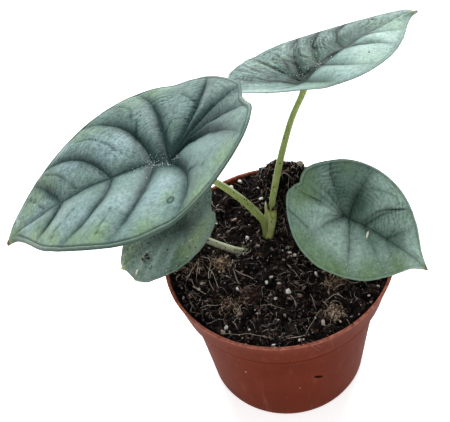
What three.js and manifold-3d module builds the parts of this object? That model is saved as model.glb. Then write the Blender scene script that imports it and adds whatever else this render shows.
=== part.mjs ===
// A potted nebula alocasia: four quilted, shield-shaped leaves on bare stalks,
// rising from one crown in a thin plastic nursery pot full of potting mix.
// Millimetres, +Z up. The origin is the centre of the pot's base. The oldest
// leaf and the largest one reach out to -X, and the viewer looks along +Y.
import * as THREE from 'three';
import Module from 'manifold-3d';
import { mergeVertices } from 'three/addons/utils/BufferGeometryUtils.js';

const wasm = await Module();
wasm.setup();

// Driving dimensions
const CLEARANCE = 0.3;

const POT = {
  height: 93,
  rimRadius: 60,
  collarHeight: 22,
  collarFootRadius: 54.9,
  stepRadius: 50.9,
  stepHeight: 3.5,
  stepFlare: 0.6,
  stepFlareDrop: 1.4,
  baseRadius: 42.4,
  baseCorner: 1.5,
  lipRounding: 0.5,
  wall: 1.5,
  wallSlopeRise: 0.45,
  floor: 2,
  grooveInner: 22,
  grooveOuter: 36,
  grooveDepth: 1.6,
  grooveSlope: 1.4,
  drainHoles: 8,
  drainRadius: 3,
  drainSides: 12,
  segments: 48,
};

// A wave of the soil's top is its height, its turn per millimetre of x and of y, and
// its start, all angles in radians.
const SOIL = {
  bottom: 4,
  level: 88.3,
  wallRise: 1.6,
  wallCurve: 4,
  lump: 0.8,
  lumpAtWall: 0.4,
  waves: [[0.5, 0.31, 0.27, 1.5], [0.5, 0.31, -0.27, 0.7], [0.6, 0.55, -0.43, 0], [0.5, 0.23, 0.71, 1.57]],
  heap: { x: 11, y: 49, halfX: 16, halfY: 15, height: 19, powerX: 4, powerY: 2.4, shareAtWall: 0.28 },
  heapWallFall: 9,
  rings: 12,
  ringSpread: 0.9,
};

const GRAINS = {
  perlite: { count: 34, size: [0.8, 1.7], sink: 0.05 },
  clods: { count: 18, size: [2.2, 4.2], sink: 0.25 },
  width: [0.7, 1],
  height: [0.6, 0.9],
  tilt: 0.6,
  reach: 52,
  seed: 4177,
};

const CROWN = {
  cormCentre: [-3.4, 16.8, 75.5],
  cormRadius: 8.6,
  cormHeight: 10.5,
  cormSides: 20,
  cormRings: 12,
  neckPath: [[-3.4, 16.9, 78], [-3.4, 17, 87], [-2.3, 18.4, 93], [-0.9, 20.3, 99], [0.1, 21.6, 103.5]],
  neckRadii: [5.6, 4.2, 3.6, 2.8, 2.4],
  neckSides: 14,
  neckRings: 9,
};

const BLADE = {
  thickness: 0.9,
  dimpleReach: 7,
  stepsBetweenVeins: 4,
  rows: [0, 0.12, 0.3, 0.5, 0.7, 0.88, 1],
  softness: 0.1,
  pillowPower: 0.8,
  marginPower: 5,
};

// Share of a leaf's relief that the pillow before each vein has, tip first. The last
// one is the raised band that runs back to the notch.
const PILLOW_SHARES = [0.55, 0.8, 1, 1.1, 1.1, 0.8, 0.6];

// The leaves. A blade is drawn flat first, seen from above with its hub at the origin
// and its tip along +y, then bent and turned. Each half outline runs from the tip back
// round the lobe to the notch, with x away from the midrib on both halves. A vein
// leaves the midrib at its root, bends towards [x, y] and meets the margin at its last
// number, counted in outline points. Angles are in degrees. arch bends the front down,
// back lifts the lobes, fold lifts both halves and twist turns the front on the lobes.
const LEAVES = [
  {
    name: 'left', hub: [-47.9, 3.9, 170], length: 97, halfWidth: 51,
    yaw: 175.3, pitch: -12.2, roll: -4,
    arch: 0.61, back: 0.75, fold: 0.185, foldAlong: 0.05, droop: 0.22, twist: 0.07,
    right: [[0, 97], [4, 95.5], [11.5, 91], [28, 73.5], [43, 45.5], [51, 17],
      [50.5, -4], [41, -19.5], [25.5, -33], [10.5, -43.5], [2, -44.5], [0, -44.5]],
    left: [[0, 97], [3, 89.5], [10, 82], [27.5, 65.5], [41.5, 41.5], [49, 16],
      [44.5, -7], [41, -29], [31, -45], [17, -50.5], [5.5, -46.5], [0, -44.5]],
    roots: [59, 30, 7.5, 0, 0, 0],
    rightVeins: [[19.5, 72, 2.7], [30, 48.5, 2.95], [33.5, 16.5, 3.9], [46, 4, 4.9],
      [23.5, -23, 7.3], [17, -23, 9.3]],
    leftVeins: [[11, 62, 2.5], [20.5, 29, 3.4], [25.5, 8, 4.5], [26.5, -23, 5.9],
      [-11, -21.5, 8.1], [-11, -22, 9.5]],
    notchBend: [15.5, -24],
    relief: 2.6, dimple: 2.2, marginDrop: 1.2,
    stalk: [[-4.7, 16.4, 89], [-4.6, 16.8, 94], [-5.3, 17, 100.7], [-7.5, 17, 106.4],
      [-12.2, 15.9, 118.3], [-18, 13.6, 130], [-26.9, 10.2, 144.7], [-36.5, 7.4, 156.5]],
    stalkRadii: [2.2, 2.3, 2.1, 1.85, 1.65, 1.6],
    bladeColour: 0x7f9a94, stalkColour: 0x7d9150,
  },
  {
    name: 'upper', hub: [22.4, 49.4, 166], length: 73, halfWidth: 38,
    yaw: 29.8, pitch: 12.8, roll: 23.4,
    arch: 0.33, back: 0.75, fold: 0.17, foldAlong: -0.28, droop: 0, twist: -0.065,
    right: [[0, 73], [2, 68], [7.5, 62.5], [20.5, 50.5], [32, 34.5], [37.5, 16],
      [35.5, -2.5], [30.5, -19.5], [21, -33], [11, -37.5], [3, -34], [0, -29]],
    left: [[0, 73], [3, 71.5], [8.5, 68], [19, 50.5], [29, 27], [37, 8.5],
      [38.5, -4.5], [31.5, -12.5], [20.5, -22.5], [10, -29], [2, -28.5], [0, -29]],
    roots: [41, 28, 12, 0, 0, 0],
    rightVeins: [[8, 48, 2.4], [18, 44, 3.5], [23, 18, 4.5], [26, 1, 5.6],
      [16, -16, 7.5], [6, -19, 9.4]],
    leftVeins: [[10, 48, 2.6], [17, 28, 3.3], [21, 19, 3.8], [31, 12, 4.25],
      [17, -3, 6], [9.5, -19, 8.6]],
    notchBend: [0, -14],
    relief: 2.2, dimple: 2, marginDrop: 1,
    stalk: [[-0.7, 20.7, 99.5], [0.3, 22, 104.5], [1.9, 24, 112], [7.5, 31, 129.6],
      [15.3, 40, 147.4]],
    stalkRadii: [1.5, 1.8, 1.75, 1.6, 1.45],
    bladeColour: 0x86a39b, stalkColour: 0x7d9150,
  },
  {
    name: 'right', hub: [34.7, -4.3, 120], length: 53.5, halfWidth: 29,
    yaw: -25.7, pitch: -24.9, roll: -15.8,
    arch: 0.565, back: 0.48, fold: 0.14, foldAlong: -0.045, droop: 0.19, twist: -0.075,
    right: [[0, 53.5], [2, 49], [5.5, 43.5], [15.5, 34], [25, 22.5], [30, 8],
      [30.5, -7], [26.5, -19.5], [18, -28.5], [9.5, -32.5], [3, -31], [0, -29]],
    left: [[0, 53.5], [2, 49.5], [6, 44.5], [16, 35.5], [25.5, 23.5], [30, 9.5],
      [29.5, -3], [24.5, -13.5], [16, -23], [8.5, -29], [2.5, -29.5], [0, -29]],
    roots: [24.5, 11, 2.5, 0, 0, 0],
    rightVeins: [[6, 28, 2.6], [8, 19, 3.25], [15.5, 8.5, 4.7], [14.5, -14, 6.5],
      [8.5, -18, 8.1], [2, -15, 9.8]],
    leftVeins: [[6.5, 29, 2.8], [18, 21.5, 3.45], [14.5, 0, 5.4], [8, -12, 7.6],
      [6, -12, 9.1], [2.5, -14, 10.2]],
    notchBend: [0, -14],
    relief: 1.6, dimple: 1.4, marginDrop: 0.8,
    stalk: [[7.6, 15.2, 80.5], [13.2, 12.8, 88.5], [21.5, 7.6, 99], [29, 1.2, 109.5]],
    stalkRadii: [1.6, 1.6, 1.5, 1.4],
    bladeColour: 0x6d8c7a, stalkColour: 0x7d9150,
  },
  {
    name: 'low', hub: [-48.1, 12.9, 108], length: 47, halfWidth: 24.5,
    yaw: 177.3, pitch: -28.5, roll: 10.3,
    arch: 0.39, back: 0.375, fold: 0.27, foldAlong: -0.05, droop: 0.095, twist: 0.12,
    right: [[0, 47], [2, 46], [5.5, 44.5], [13.5, 36.5], [20.5, 23], [24, 8],
      [24, -5.5], [21, -16], [14.5, -23], [8, -25.5], [2.5, -23.5], [0, -22.5]],
    left: [[0, 47], [1.5, 44.5], [5, 41.5], [13.5, 35], [20.5, 23.5], [23.5, 9.5],
      [22.5, -5], [20.5, -17], [14.5, -24.5], [8, -25.5], [3, -23], [0, -22.5]],
    roots: [28, 14, 4, 0, 0, 0],
    rightVeins: [[7, 31, 2.6], [12, 20, 3.2], [14.5, 7, 4.2], [15, -5.5, 5.5],
      [10, -12, 7.4], [4, -13, 9.3]],
    leftVeins: [[7, 31, 2.6], [12, 20, 3.2], [14.5, 7, 4.2], [15, -5.5, 5.5],
      [10, -12, 7.4], [4, -13, 9.3]],
    notchBend: [0, -11],
    relief: 1, dimple: 1, marginDrop: 0.6,
    stalk: [[-13.2, 12.3, 82], [-20.3, 9.2, 87.3], [-28.7, 10, 92.6], [-36.7, 11.4, 98.2]],
    stalkRadii: [1.4, 1.4, 1.35, 1.3],
    bladeColour: 0x667d66, stalkColour: 0x8f9078,
  },
];

const STALK = { sides: 10, ringLength: 5, bend: 5 };

const COLOURS = { pot: 0x93483a, soil: 0x2a211c, crown: 0x7a7d4a };

// A repeatable stream of numbers from 0 to 1
function numberStream(seed) {
  let state = seed;
  return () => {
    state = (state * 1664525 + 1013904223) % 4294967296;
    return state / 4294967296;
  };
}

function between(range, share) {
  return range[0] + (range[1] - range[0]) * share;
}

function bare(geometry) {
  const copy = geometry.clone();
  copy.deleteAttribute('normal');
  copy.deleteAttribute('uv');
  return mergeVertices(copy, 1e-4);
}

function signedVolume(geometry) {
  const position = geometry.getAttribute('position');
  const corners = [new THREE.Vector3(), new THREE.Vector3(), new THREE.Vector3()];
  let sum = 0;
  for (let i = 0; i < geometry.index.count; i += 3) {
    corners.forEach((corner, k) => corner.fromBufferAttribute(position, geometry.index.getX(i + k)));
    sum += corners[0].dot(corners[1].cross(corners[2]));
  }
  return sum / 6;
}

// Turns every triangle round where the surface faces inwards
function facingOut(geometry) {
  if (signedVolume(geometry) > 0) return geometry;
  const index = geometry.index;
  for (let i = 0; i < index.count; i += 3) {
    const first = index.getX(i);
    index.setX(i, index.getX(i + 1));
    index.setX(i + 1, first);
  }
  return geometry;
}

// Drops triangles that have two corners in one place
function withoutSlivers(geometry) {
  const kept = [];
  const index = geometry.index;
  for (let i = 0; i < index.count; i += 3) {
    const [a, b, c] = [index.getX(i), index.getX(i + 1), index.getX(i + 2)];
    if (a !== b && b !== c && a !== c) kept.push(a, b, c);
  }
  geometry.setIndex(kept);
  return geometry;
}

function meshOf(points, triangles) {
  const geometry = new THREE.BufferGeometry();
  geometry.setAttribute('position', new THREE.Float32BufferAttribute(points.flat(), 3));
  geometry.setIndex(triangles);
  return facingOut(withoutSlivers(mergeVertices(geometry, 1e-4)));
}

function solid(geometry) {
  const closed = facingOut(withoutSlivers(bare(geometry)));
  return new wasm.Manifold(new wasm.Mesh({
    numProp: 3,
    vertProperties: new Float32Array(closed.getAttribute('position').array),
    triVerts: new Uint32Array(closed.index.array),
  }));
}

function geometryOf(manifold) {
  const mesh = manifold.getMesh();
  const geometry = new THREE.BufferGeometry();
  geometry.setAttribute('position', new THREE.BufferAttribute(mesh.vertProperties, 3));
  geometry.setIndex(new THREE.BufferAttribute(mesh.triVerts, 1));
  return geometry;
}

// A profile of (radius, height) points turned round the Z axis
function turned(profile, segments) {
  const points = profile.map(([radius, height]) => new THREE.Vector2(radius, height));
  const geometry = new THREE.LatheGeometry(points, segments);
  geometry.rotateX(Math.PI / 2);
  return geometry;
}

// The value at a share from 0 to 1 along a list of evenly spaced values
function along(values, share) {
  const place = Math.min(Math.max(share, 0), 1) * (values.length - 1);
  const i = Math.min(Math.floor(place), values.length - 2);
  return values[i] + (values[i + 1] - values[i]) * (place - i);
}

// A closed round stem along a smooth path, with its last ring cut to a plane if one is
// given. grow makes it that much larger all round, for cutting the hole it stands in.
function stem(path, radii, { sides, rings, cut = null, grow = 0 }) {
  const curve = new THREE.CatmullRomCurve3(path.map((point) => new THREE.Vector3(...point)));
  const frames = curve.computeFrenetFrames(rings, false);
  const points = [];
  const triangles = [];
  for (let i = 0; i <= rings; i += 1) {
    const share = i / rings;
    const centre = curve.getPointAt(share);
    const tangent = frames.tangents[i];
    if (i === 0) centre.addScaledVector(tangent, -grow);
    if (i === rings && !cut) centre.addScaledVector(tangent, grow);
    const radius = along(radii, share) + grow;
    for (let k = 0; k < sides; k += 1) {
      const turn = (2 * Math.PI * k) / sides;
      const point = centre.clone()
        .addScaledVector(frames.normals[i], radius * Math.cos(turn))
        .addScaledVector(frames.binormals[i], radius * Math.sin(turn));
      if (i === rings && cut) slideToPlane(point, tangent, cut);
      points.push(point.toArray());
    }
  }
  for (let i = 0; i < rings; i += 1) {
    for (let k = 0; k < sides; k += 1) {
      const a = i * sides + k;
      const b = i * sides + ((k + 1) % sides);
      triangles.push(a, b, a + sides, b, b + sides, a + sides);
    }
  }
  const last = rings * sides;
  for (let k = 1; k < sides - 1; k += 1) {
    triangles.push(0, k + 1, k, last, last + k, last + k + 1);
  }
  return meshOf(points, triangles);
}

function slideToPlane(point, direction, plane) {
  const gap = plane.point.clone().sub(point).dot(plane.normal);
  point.addScaledVector(direction, gap / direction.dot(plane.normal));
}

// Pot: a thin wall with a flared collar, a step below it, and a ringed floor with drain
// holes. The middle of the floor and its outer ring stand on the table.
const COLLAR_FOOT = POT.height - POT.collarHeight;

function potOutside() {
  const { baseRadius, baseCorner, grooveInner, grooveOuter, grooveDepth, grooveSlope } = POT;
  return [
    [0, 0], [grooveInner, 0], [grooveInner + grooveSlope, grooveDepth],
    [grooveOuter - grooveSlope, grooveDepth], [grooveOuter, 0],
    [baseRadius - baseCorner, 0], [baseRadius, baseCorner],
    [POT.stepRadius, COLLAR_FOOT - POT.stepHeight],
    [POT.stepRadius + POT.stepFlare, COLLAR_FOOT - POT.stepFlareDrop],
    [POT.collarFootRadius, COLLAR_FOOT],
    [POT.rimRadius, POT.height - POT.lipRounding],
    [POT.rimRadius - POT.lipRounding, POT.height],
  ];
}

function potInside() {
  const { baseRadius, baseCorner, grooveInner, grooveOuter, grooveDepth, wall, floor } = POT;
  const slope = POT.grooveSlope / 2;
  const rise = POT.wallSlopeRise;
  return [
    [POT.rimRadius - wall, POT.height],
    [POT.collarFootRadius - wall, COLLAR_FOOT + rise],
    [POT.stepRadius + POT.stepFlare - wall, COLLAR_FOOT - POT.stepFlareDrop + rise],
    [POT.stepRadius - wall, COLLAR_FOOT - POT.stepHeight],
    [baseRadius - wall, floor + baseCorner], [baseRadius - wall - baseCorner, floor],
    [grooveOuter + slope, floor], [grooveOuter - slope, floor + grooveDepth],
    [grooveInner + slope, floor + grooveDepth], [grooveInner - slope, floor],
    [0, floor],
  ];
}

function potGeometry() {
  let pot = solid(turned([...potOutside(), ...potInside()], POT.segments));
  const ringRadius = (POT.grooveInner + POT.grooveOuter) / 2;
  for (let i = 0; i < POT.drainHoles; i += 1) {
    const turn = (2 * Math.PI * i) / POT.drainHoles;
    const length = 4 * POT.floor;
    const hole = new THREE.CylinderGeometry(POT.drainRadius, POT.drainRadius, length, POT.drainSides);
    hole.rotateX(Math.PI / 2);
    hole.translate(ringRadius * Math.cos(turn), ringRadius * Math.sin(turn), POT.floor);
    pot = pot.subtract(solid(hole));
  }
  return geometryOf(pot);
}

// Heights at which the pot's inside changes slope, from the collar's foot down
function insideLevels() {
  return potInside().slice(1, 4).map((point) => point[1]);
}

// Radius of the pot's inside at a height, read off its profile
function insideRadius(height) {
  const wallPoints = potInside().slice(0, 5).reverse();
  const next = Math.max(wallPoints.findIndex((point) => point[1] >= height), 1);
  const [lowRadius, low] = wallPoints[next - 1];
  const [highRadius, high] = wallPoints[next];
  return lowRadius + ((highRadius - lowRadius) * (height - low)) / (high - low);
}

// Soil: an uneven top, a little higher at the wall, with a heap at the back that
// stands above the rim and slumps just inside it.
function soilHeight(x, y) {
  const { heap, heapWallFall, level, lump, lumpAtWall, wallCurve, wallRise, waves } = SOIL;
  const radius = Math.hypot(x, y);
  const edge = insideRadius(level) - CLEARANCE;
  const ripple = waves.reduce(
    (sum, [height, turnX, turnY, start]) => sum + height * Math.sin(turnX * x + turnY * y + start), 0,
  );
  const inward = Math.min(1, Math.max(0, (edge - radius) / heapWallFall));
  const lumps = lump * ripple * between([lumpAtWall, 1], inward);
  const spread = (Math.abs(x - heap.x) / heap.halfX) ** heap.powerX
    + (Math.abs(y - heap.y) / heap.halfY) ** heap.powerY;
  const heaped = heap.height * Math.exp(-spread) * between([heap.shareAtWall, 1], Math.sqrt(inward));
  return level + wallRise * (radius / edge) ** wallCurve + lumps + heaped;
}

function ringOf(radius, columns, heightAt) {
  return Array.from({ length: columns }, (_, k) => {
    const turn = (2 * Math.PI * k) / columns;
    const [x, y] = [radius * Math.cos(turn), radius * Math.sin(turn)];
    return [x, y, heightAt(x, y)];
  });
}

function soilBody() {
  const { rings, bottom } = SOIL;
  const columns = POT.segments;
  const edge = insideRadius(SOIL.level) - CLEARANCE;
  const points = [[0, 0, soilHeight(0, 0)]];
  const triangles = [];
  for (let i = 1; i <= rings; i += 1) {
    points.push(...ringOf(edge * (i / rings) ** SOIL.ringSpread, columns, soilHeight));
  }
  const levels = [...insideLevels(), bottom];
  levels.forEach((height) => {
    points.push(...ringOf(insideRadius(height) - CLEARANCE, columns, () => height));
  });
  points.push([0, 0, bottom]);
  const rows = rings + levels.length;
  const id = (row, k) => 1 + (row - 1) * columns + (k % columns);
  for (let k = 0; k < columns; k += 1) {
    triangles.push(0, id(1, k), id(1, k + 1));
    for (let row = 1; row < rows; row += 1) {
      triangles.push(id(row, k), id(row + 1, k), id(row + 1, k + 1));
      triangles.push(id(row, k), id(row + 1, k + 1), id(row, k + 1));
    }
    triangles.push(points.length - 1, id(rows, k + 1), id(rows, k));
  }
  return solid(meshOf(points, triangles));
}

// Perlite grains and clods, sunk well into the top of the soil
function soilGrains() {
  const next = numberStream(GRAINS.seed);
  const place = (geometry, kind) => {
    const size = between(kind.size, next());
    const reach = (GRAINS.reach - size) * Math.sqrt(next());
    const turn = 2 * Math.PI * next();
    const [x, y] = [reach * Math.cos(turn), reach * Math.sin(turn)];
    geometry.scale(size, size * between(GRAINS.width, next()), size * between(GRAINS.height, next()));
    geometry.rotateZ(2 * Math.PI * next());
    geometry.rotateX(GRAINS.tilt * next());
    geometry.translate(x, y, soilHeight(x, y) - kind.sink * size);
    return solid(geometry);
  };
  const { clods, perlite } = GRAINS;
  return [
    ...Array.from({ length: clods.count }, () => place(new THREE.IcosahedronGeometry(1, 0), clods)),
    ...Array.from({ length: perlite.count }, () => place(new THREE.OctahedronGeometry(1, 0), perlite)),
  ];
}

function soilGeometry(crown, stalks) {
  let soil = soilBody();
  soilGrains().forEach((grain) => {
    soil = soil.add(grain);
  });
  soil = soil.subtract(crown);
  stalks.forEach((stalk) => {
    soil = soil.subtract(stalk);
  });
  return geometryOf(largestPiece(soil));
}

// The one large body that is left when a cut frees a crumb
function largestPiece(manifold) {
  const pieces = manifold.decompose();
  return pieces.reduce((best, piece) => (piece.volume() > best.volume() ? piece : best));
}

// Crown: a corm under the soil and a sheathed neck that stands out of it
function crownSolid(grow) {
  const corm = new THREE.SphereGeometry(1, CROWN.cormSides, CROWN.cormRings);
  corm.rotateX(Math.PI / 2);
  corm.scale(CROWN.cormRadius + grow, CROWN.cormRadius + grow, CROWN.cormHeight + grow);
  corm.translate(...CROWN.cormCentre);
  const rounds = { sides: CROWN.neckSides, rings: CROWN.neckRings, grow };
  return solid(corm).add(solid(stem(CROWN.neckPath, CROWN.neckRadii, rounds)));
}

// Blades: a point on a half outline at a place counted in its points
function marginPoint(outline, mate, place) {
  const last = outline.length - 1;
  const i = Math.min(Math.floor(place), last - 1);
  const beyond = [-mate[last - 1][0], mate[last - 1][1]];
  return [0, 1].map((axis) => {
    const [from, to] = [outline[i][axis], outline[i + 1][axis]];
    const leave = i > 0 ? (to - outline[i - 1][axis]) / 2 : to - from;
    const next = i + 2 <= last ? outline[i + 2] : beyond;
    return hermite(from, to, leave, (next[axis] - from) / 2, place - i);
  });
}

function hermite(from, to, leave, arrive, s) {
  const s2 = s * s;
  const s3 = s2 * s;
  return from * (2 * s3 - 3 * s2 + 1) + leave * (s3 - 2 * s2 + s)
    + to * (3 * s2 - 2 * s3) + arrive * (s3 - s2);
}

// The lines that part the pillows of one half: the tip, its veins and the notch line
function partingLines(leaf, side) {
  const veins = side > 0 ? leaf.rightVeins : leaf.leftVeins;
  const last = leaf.right.length - 1;
  return [
    [leaf.length, 0, leaf.length, 0],
    ...veins.map(([x, y, end], i) => [leaf.roots[i], x, y, end]),
    [0, side * leaf.notchBend[0], leaf.notchBend[1], last],
  ];
}

// A point of the flat blade. column counts the parting lines from the tip, and row
// runs from 0 on the midrib to 1 on the margin.
function flatPoint(leaf, side, column, row) {
  const lines = partingLines(leaf, side);
  const i = Math.min(Math.floor(column), lines.length - 2);
  const [root, bendX, bendY, end] = lines[i].map(
    (value, k) => value + (lines[i + 1][k] - value) * (column - i),
  );
  const [outline, mate] = side > 0 ? [leaf.right, leaf.left] : [leaf.left, leaf.right];
  const [x, y] = marginPoint(outline, mate, end);
  const keep = (1 - row) ** 2;
  const pull = 2 * row * (1 - row);
  const out = row * row;
  return [side * (pull * bendX + out * x), keep * root + pull * bendY + out * y];
}

// Pillows between the sunken veins, a dip at the hub and a margin that turns down
function reliefAt(leaf, column, row, x, y) {
  const i = Math.min(Math.floor(column), PILLOW_SHARES.length - 1);
  const turn = i === PILLOW_SHARES.length - 1 ? Math.PI / 2 : Math.PI;
  const power = BLADE.pillowPower;
  const across = Math.sin(turn * Math.min(column - i, 1)) ** power;
  const alongVein = Math.sin(Math.PI * row ** power) ** power;
  const pillow = leaf.relief * PILLOW_SHARES[i] * across * alongVein;
  const dip = leaf.dimple * Math.exp(-(x * x + y * y) / BLADE.dimpleReach ** 2);
  return pillow - dip - leaf.marginDrop * row ** BLADE.marginPower;
}

function soft(value, size) {
  return Math.sqrt(value * value + size * size) - size;
}

function turnOf(leaf) {
  const [yaw, pitch, roll] = [leaf.yaw, leaf.pitch, leaf.roll].map(THREE.MathUtils.degToRad);
  const forward = new THREE.Vector3(
    Math.cos(yaw) * Math.cos(pitch), Math.sin(yaw) * Math.cos(pitch), Math.sin(pitch),
  );
  const level = new THREE.Vector3(Math.sin(yaw), -Math.cos(yaw), 0);
  const lift = new THREE.Vector3().crossVectors(level, forward);
  const side = level.clone().multiplyScalar(Math.cos(roll)).addScaledVector(lift, Math.sin(roll));
  const up = level.clone().multiplyScalar(-Math.sin(roll)).addScaledVector(lift, Math.cos(roll));
  return { side, forward, up };
}

function bent(leaf, x, y, relief) {
  const size = BLADE.softness * leaf.length;
  const bow = y > 0 ? (-leaf.arch * y * y) / (2 * leaf.length) : leaf.back * soft(y, size);
  const fold = (leaf.fold + (leaf.foldAlong * y) / leaf.length) * soft(x, size);
  const droop = (leaf.droop * x * x) / (2 * leaf.halfWidth);
  const z = bow + fold - droop + (leaf.twist * x * y) / leaf.length + relief;
  const turn = turnOf(leaf);
  return new THREE.Vector3(...leaf.hub)
    .addScaledVector(turn.side, x)
    .addScaledVector(turn.forward, y)
    .addScaledVector(turn.up, z);
}

function bladePoint(leaf, side, column, row) {
  const [x, y] = flatPoint(leaf, side, column, row);
  return bent(leaf, x, y, reliefAt(leaf, column, row, x, y));
}

// The sheet through the middle of the blade: one grid from the tip round the right
// half to the notch, and on round the left half back to the tip
function bladeSheet(leaf) {
  const { rows, stepsBetweenVeins } = BLADE;
  const steps = PILLOW_SHARES.length * stepsBetweenVeins;
  const columns = Array.from({ length: steps + 1 }, (_, i) => i / stepsBetweenVeins);
  const stations = [
    ...columns.map((column) => [1, column]),
    ...columns.slice().reverse().map((column) => [-1, column]),
  ];
  const points = stations.flatMap(([side, column]) => rows.map(
    (row) => bladePoint(leaf, side, column, row).toArray(),
  ));
  const triangles = [];
  for (let i = 0; i < stations.length - 1; i += 1) {
    for (let k = 0; k < rows.length - 1; k += 1) {
      const a = i * rows.length + k;
      const b = a + rows.length;
      triangles.push(a, a + 1, b + 1, a, b + 1, b);
    }
  }
  const sheet = new THREE.BufferGeometry();
  sheet.setAttribute('position', new THREE.Float32BufferAttribute(points.flat(), 3));
  sheet.setIndex(triangles);
  const joined = withoutSlivers(mergeVertices(sheet, 1e-3));
  joined.computeVertexNormals();
  return joined;
}

// The closed edge of a sheet: directed edges that only one triangle uses
function openEdges(index) {
  const edges = new Map();
  for (let i = 0; i < index.count; i += 3) {
    for (let k = 0; k < 3; k += 1) {
      const [a, b] = [index.getX(i + k), index.getX(i + ((k + 1) % 3))];
      if (edges.has(`${b} ${a}`)) edges.delete(`${b} ${a}`);
      else edges.set(`${a} ${b}`, [a, b]);
    }
  }
  return [...edges.values()];
}

// Both faces of the blade stand half a thickness off the sheet, triangle for triangle
function bladeGeometry(leaf) {
  const sheet = bladeSheet(leaf);
  const position = sheet.getAttribute('position');
  const normal = sheet.getAttribute('normal');
  const count = position.count;
  const points = [];
  [1, -1].forEach((face) => {
    for (let i = 0; i < count; i += 1) {
      const point = new THREE.Vector3().fromBufferAttribute(position, i);
      const out = new THREE.Vector3().fromBufferAttribute(normal, i);
      points.push(point.addScaledVector(out, (face * BLADE.thickness) / 2).toArray());
    }
  });
  const triangles = [];
  const { index } = sheet;
  for (let i = 0; i < index.count; i += 3) {
    const [a, b, c] = [index.getX(i), index.getX(i + 1), index.getX(i + 2)];
    triangles.push(a, b, c, c + count, b + count, a + count);
  }
  openEdges(index).forEach(([a, b]) => {
    triangles.push(b, a, a + count, b, a + count, b + count);
  });
  return meshOf(points, triangles);
}

// Stalks: each runs up to the underside of its blade at the hub, and ends there
function hubPlane(leaf) {
  const normal = turnOf(leaf).up;
  const centre = bent(leaf, 0, 0, -leaf.dimple);
  const point = centre.clone().addScaledVector(normal, -BLADE.thickness / 2 - CLEARANCE);
  return { point, normal };
}

// The last bend of a stalk lies halfway between the way it comes and the hub's normal
function stalkGeometry(leaf, grow) {
  const cut = hubPlane(leaf);
  const incoming = cut.point.clone().sub(new THREE.Vector3(...leaf.stalk.at(-1))).normalize();
  const bend = incoming.add(cut.normal).setLength(STALK.bend);
  const path = [...leaf.stalk, cut.point.clone().sub(bend).toArray(), cut.point.toArray()];
  const reach = path.slice(1).reduce(
    (sum, point, i) => sum + new THREE.Vector3(...point).distanceTo(new THREE.Vector3(...path[i])), 0,
  );
  const rings = Math.round(reach / STALK.ringLength);
  return stem(path, leaf.stalkRadii, { sides: STALK.sides, rings, cut, grow });
}

function addPiece(group, name, geometry, colour, roughness) {
  const material = new THREE.MeshStandardMaterial({ color: colour, roughness, metalness: 0 });
  const mesh = new THREE.Mesh(geometry, material);
  mesh.name = name;
  group.add(mesh);
}

function buildPlant() {
  const plant = new THREE.Group();
  const holes = LEAVES.map((leaf) => solid(stalkGeometry(leaf, CLEARANCE)));
  let crown = crownSolid(0);
  holes.forEach((hole) => {
    crown = crown.subtract(hole);
  });
  addPiece(plant, 'pot', potGeometry(), COLOURS.pot, 0.55);
  addPiece(plant, 'soil', soilGeometry(crownSolid(CLEARANCE), holes), COLOURS.soil, 0.95);
  addPiece(plant, 'crown', geometryOf(largestPiece(crown)), COLOURS.crown, 0.6);
  LEAVES.forEach((leaf) => {
    addPiece(plant, `stalk_${leaf.name}`, stalkGeometry(leaf, 0), leaf.stalkColour, 0.5);
    addPiece(plant, `blade_${leaf.name}`, bladeGeometry(leaf), leaf.bladeColour, 0.4);
  });
  return plant;
}

export default buildPlant();
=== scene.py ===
# %% [markdown]
# # A potted nebula alocasia
#
# Four quilted leaves stand on bare stalks over a thin plastic pot of potting mix. The
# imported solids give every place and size. Each cell below makes one piece or one finish
# of the plant, as a surface worked out with numpy, and prints what it made. Shapes are
# worked out in millimetres and go into Blender in metres.

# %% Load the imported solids
import math

import bpy
import numpy as np
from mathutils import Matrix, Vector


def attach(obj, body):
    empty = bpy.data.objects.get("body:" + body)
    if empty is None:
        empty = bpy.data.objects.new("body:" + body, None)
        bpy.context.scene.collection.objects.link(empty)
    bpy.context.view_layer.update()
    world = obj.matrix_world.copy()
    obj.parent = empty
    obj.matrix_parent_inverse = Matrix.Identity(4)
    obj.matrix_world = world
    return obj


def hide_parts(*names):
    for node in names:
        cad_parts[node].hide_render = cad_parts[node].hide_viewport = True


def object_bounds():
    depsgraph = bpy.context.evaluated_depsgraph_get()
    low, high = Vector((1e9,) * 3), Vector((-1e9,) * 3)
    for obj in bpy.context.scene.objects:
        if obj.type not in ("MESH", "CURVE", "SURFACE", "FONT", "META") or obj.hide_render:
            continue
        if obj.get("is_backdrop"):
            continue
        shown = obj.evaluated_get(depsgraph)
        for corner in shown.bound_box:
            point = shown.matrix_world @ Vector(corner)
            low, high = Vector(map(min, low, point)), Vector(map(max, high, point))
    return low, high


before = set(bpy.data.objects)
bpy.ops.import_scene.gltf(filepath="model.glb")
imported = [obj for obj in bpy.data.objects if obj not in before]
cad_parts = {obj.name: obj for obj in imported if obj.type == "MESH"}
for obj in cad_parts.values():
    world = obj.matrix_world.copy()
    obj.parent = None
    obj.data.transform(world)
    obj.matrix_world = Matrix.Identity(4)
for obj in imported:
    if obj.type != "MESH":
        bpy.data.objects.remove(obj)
cad_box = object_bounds()
print("solids:", sorted(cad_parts))

# %% [markdown]
# ## The camera
#
# The photograph looks down on the plant from the front, rolled a little to the left. A
# real camera is a place, three directions and a lens, so those are what is written here.
# The place and the lens were found from the outlines of the pot's rim and base.

# %% Camera
MM = 0.001
CAMERA_PLACE = (-24.5, -354.5, 543.9)
CAMERA_PITCH = 49.3
CAMERA_ROLL = -8.4
CAMERA_LENS = 88.0
FILM_WIDTH = 36.0
CAMERA_REACH = 60.0


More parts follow.
